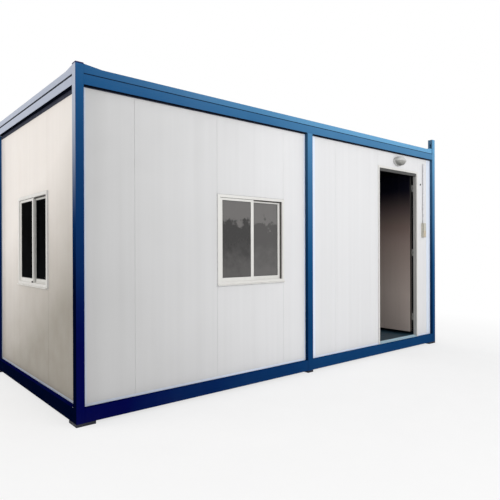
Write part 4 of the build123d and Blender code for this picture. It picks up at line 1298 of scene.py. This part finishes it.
def add_lamp(name, place, target, size, watts, light=(1.0, 1.0, 1.0)):
    """Square area lamp that faces its target."""
    data = bpy.data.lights.new(name, "AREA")
    data.size = size
    data.energy = watts
    data.color = light
    lamp = bpy.data.objects.new(name, data)
    lamp.location = place
    lamp.rotation_euler = (Vector(target) - Vector(place)).to_track_quat("-Z", "Y").to_euler()
    bpy.context.scene.collection.objects.link(lamp)


def make_camera(scene, stage):
    """Camera turned by heading from +Y towards +X, then by pitch and roll about its own axes."""
    heading, pitch, roll = stage.heading, stage.pitch, stage.roll
    level = Vector((math.sin(heading), math.cos(heading), 0.0))
    forward = math.cos(pitch) * level + math.sin(pitch) * Vector(UP)
    right = Vector((math.cos(heading), -math.sin(heading), 0.0))
    up = right.cross(forward)
    rolled_right = math.cos(roll) * right + math.sin(roll) * up
    rolled_up = math.cos(roll) * up - math.sin(roll) * right
    data = bpy.data.cameras.new("camera")
    data.sensor_width = 36.0
    data.lens = stage.focal_pixels * data.sensor_width / PICTURE_SIDE
    data.clip_end = 200
    camera = bpy.data.objects.new("camera", data)
    basis = Matrix((rolled_right, rolled_up, -forward)).transposed().to_4x4()
    camera.matrix_world = Matrix.Translation(Vector(stage.eye)) @ basis
    scene.collection.objects.link(camera)
    scene.camera = camera
    scene.view_settings.view_transform = "Standard"


OPERATORS = (
    BUNKHOUSE_OT_finishes,
    BUNKHOUSE_OT_dress_nodes,
    BUNKHOUSE_OT_window_gaskets,
    BUNKHOUSE_OT_sealant,
    BUNKHOUSE_OT_shadow_foam_strips,
    BUNKHOUSE_OT_cover_strips,
    BUNKHOUSE_OT_trim_rivets,
    BUNKHOUSE_OT_weld_beads,
    BUNKHOUSE_OT_door_fittings,
    BUNKHOUSE_OT_window_fittings,
    BUNKHOUSE_OT_track_shadow_strips,
    BUNKHOUSE_OT_power_covers,
    BUNKHOUSE_OT_roof_screws,
    BUNKHOUSE_OT_conduit_clips,
    BUNKHOUSE_OT_stage,
)
SETTINGS = {
    "bunkhouse_colours": BunkhouseColours,
    "bunkhouse_fittings": BunkhouseFittings,
    "bunkhouse_stage": BunkhouseStage,
}


class BUNKHOUSE_PT_panel(bpy.types.Panel):
    """Steps that dress the bunkhouse, with its sizes and colours"""

    bl_idname = "BUNKHOUSE_PT_panel"
    bl_label = "Bunkhouse"
    bl_space_type = "VIEW_3D"
    bl_region_type = "UI"
    bl_category = "Bunkhouse"

    def draw(self, context):
        layout = self.layout
        for step in OPERATORS:
            layout.operator(step.bl_idname)
        for settings in SETTINGS:
            group = getattr(context.scene, settings)
            box = layout.box()
            for label in group.__annotations__:
                box.prop(group, label)


def register():
    for settings, group in SETTINGS.items():
        bpy.utils.register_class(group)
        setattr(bpy.types.Scene, settings, bpy.props.PointerProperty(type=group))
    for kind in (*OPERATORS, BUNKHOUSE_PT_panel):
        bpy.utils.register_class(kind)


def unregister():
    for kind in reversed((*OPERATORS, BUNKHOUSE_PT_panel)):
        bpy.utils.unregister_class(kind)
    for settings, group in SETTINGS.items():
        delattr(bpy.types.Scene, settings)
        bpy.utils.unregister_class(group)


def main():
    register()
    bpy.ops.bunkhouse.finishes()
    bpy.ops.bunkhouse.dress_nodes()
    bpy.ops.bunkhouse.window_gaskets()
    bpy.ops.bunkhouse.sealant()
    bpy.ops.bunkhouse.foam_strips()
    bpy.ops.bunkhouse.cover_strips()
    bpy.ops.bunkhouse.trim_rivets()
    bpy.ops.bunkhouse.weld_beads()
    bpy.ops.bunkhouse.door_fittings()
    bpy.ops.bunkhouse.window_fittings()
    bpy.ops.bunkhouse.track_strips()
    bpy.ops.bunkhouse.power_covers()
    bpy.ops.bunkhouse.roof_screws()
    bpy.ops.bunkhouse.conduit_clips()
    bpy.ops.bunkhouse.stage()


if __name__ == "__main__":
    main()
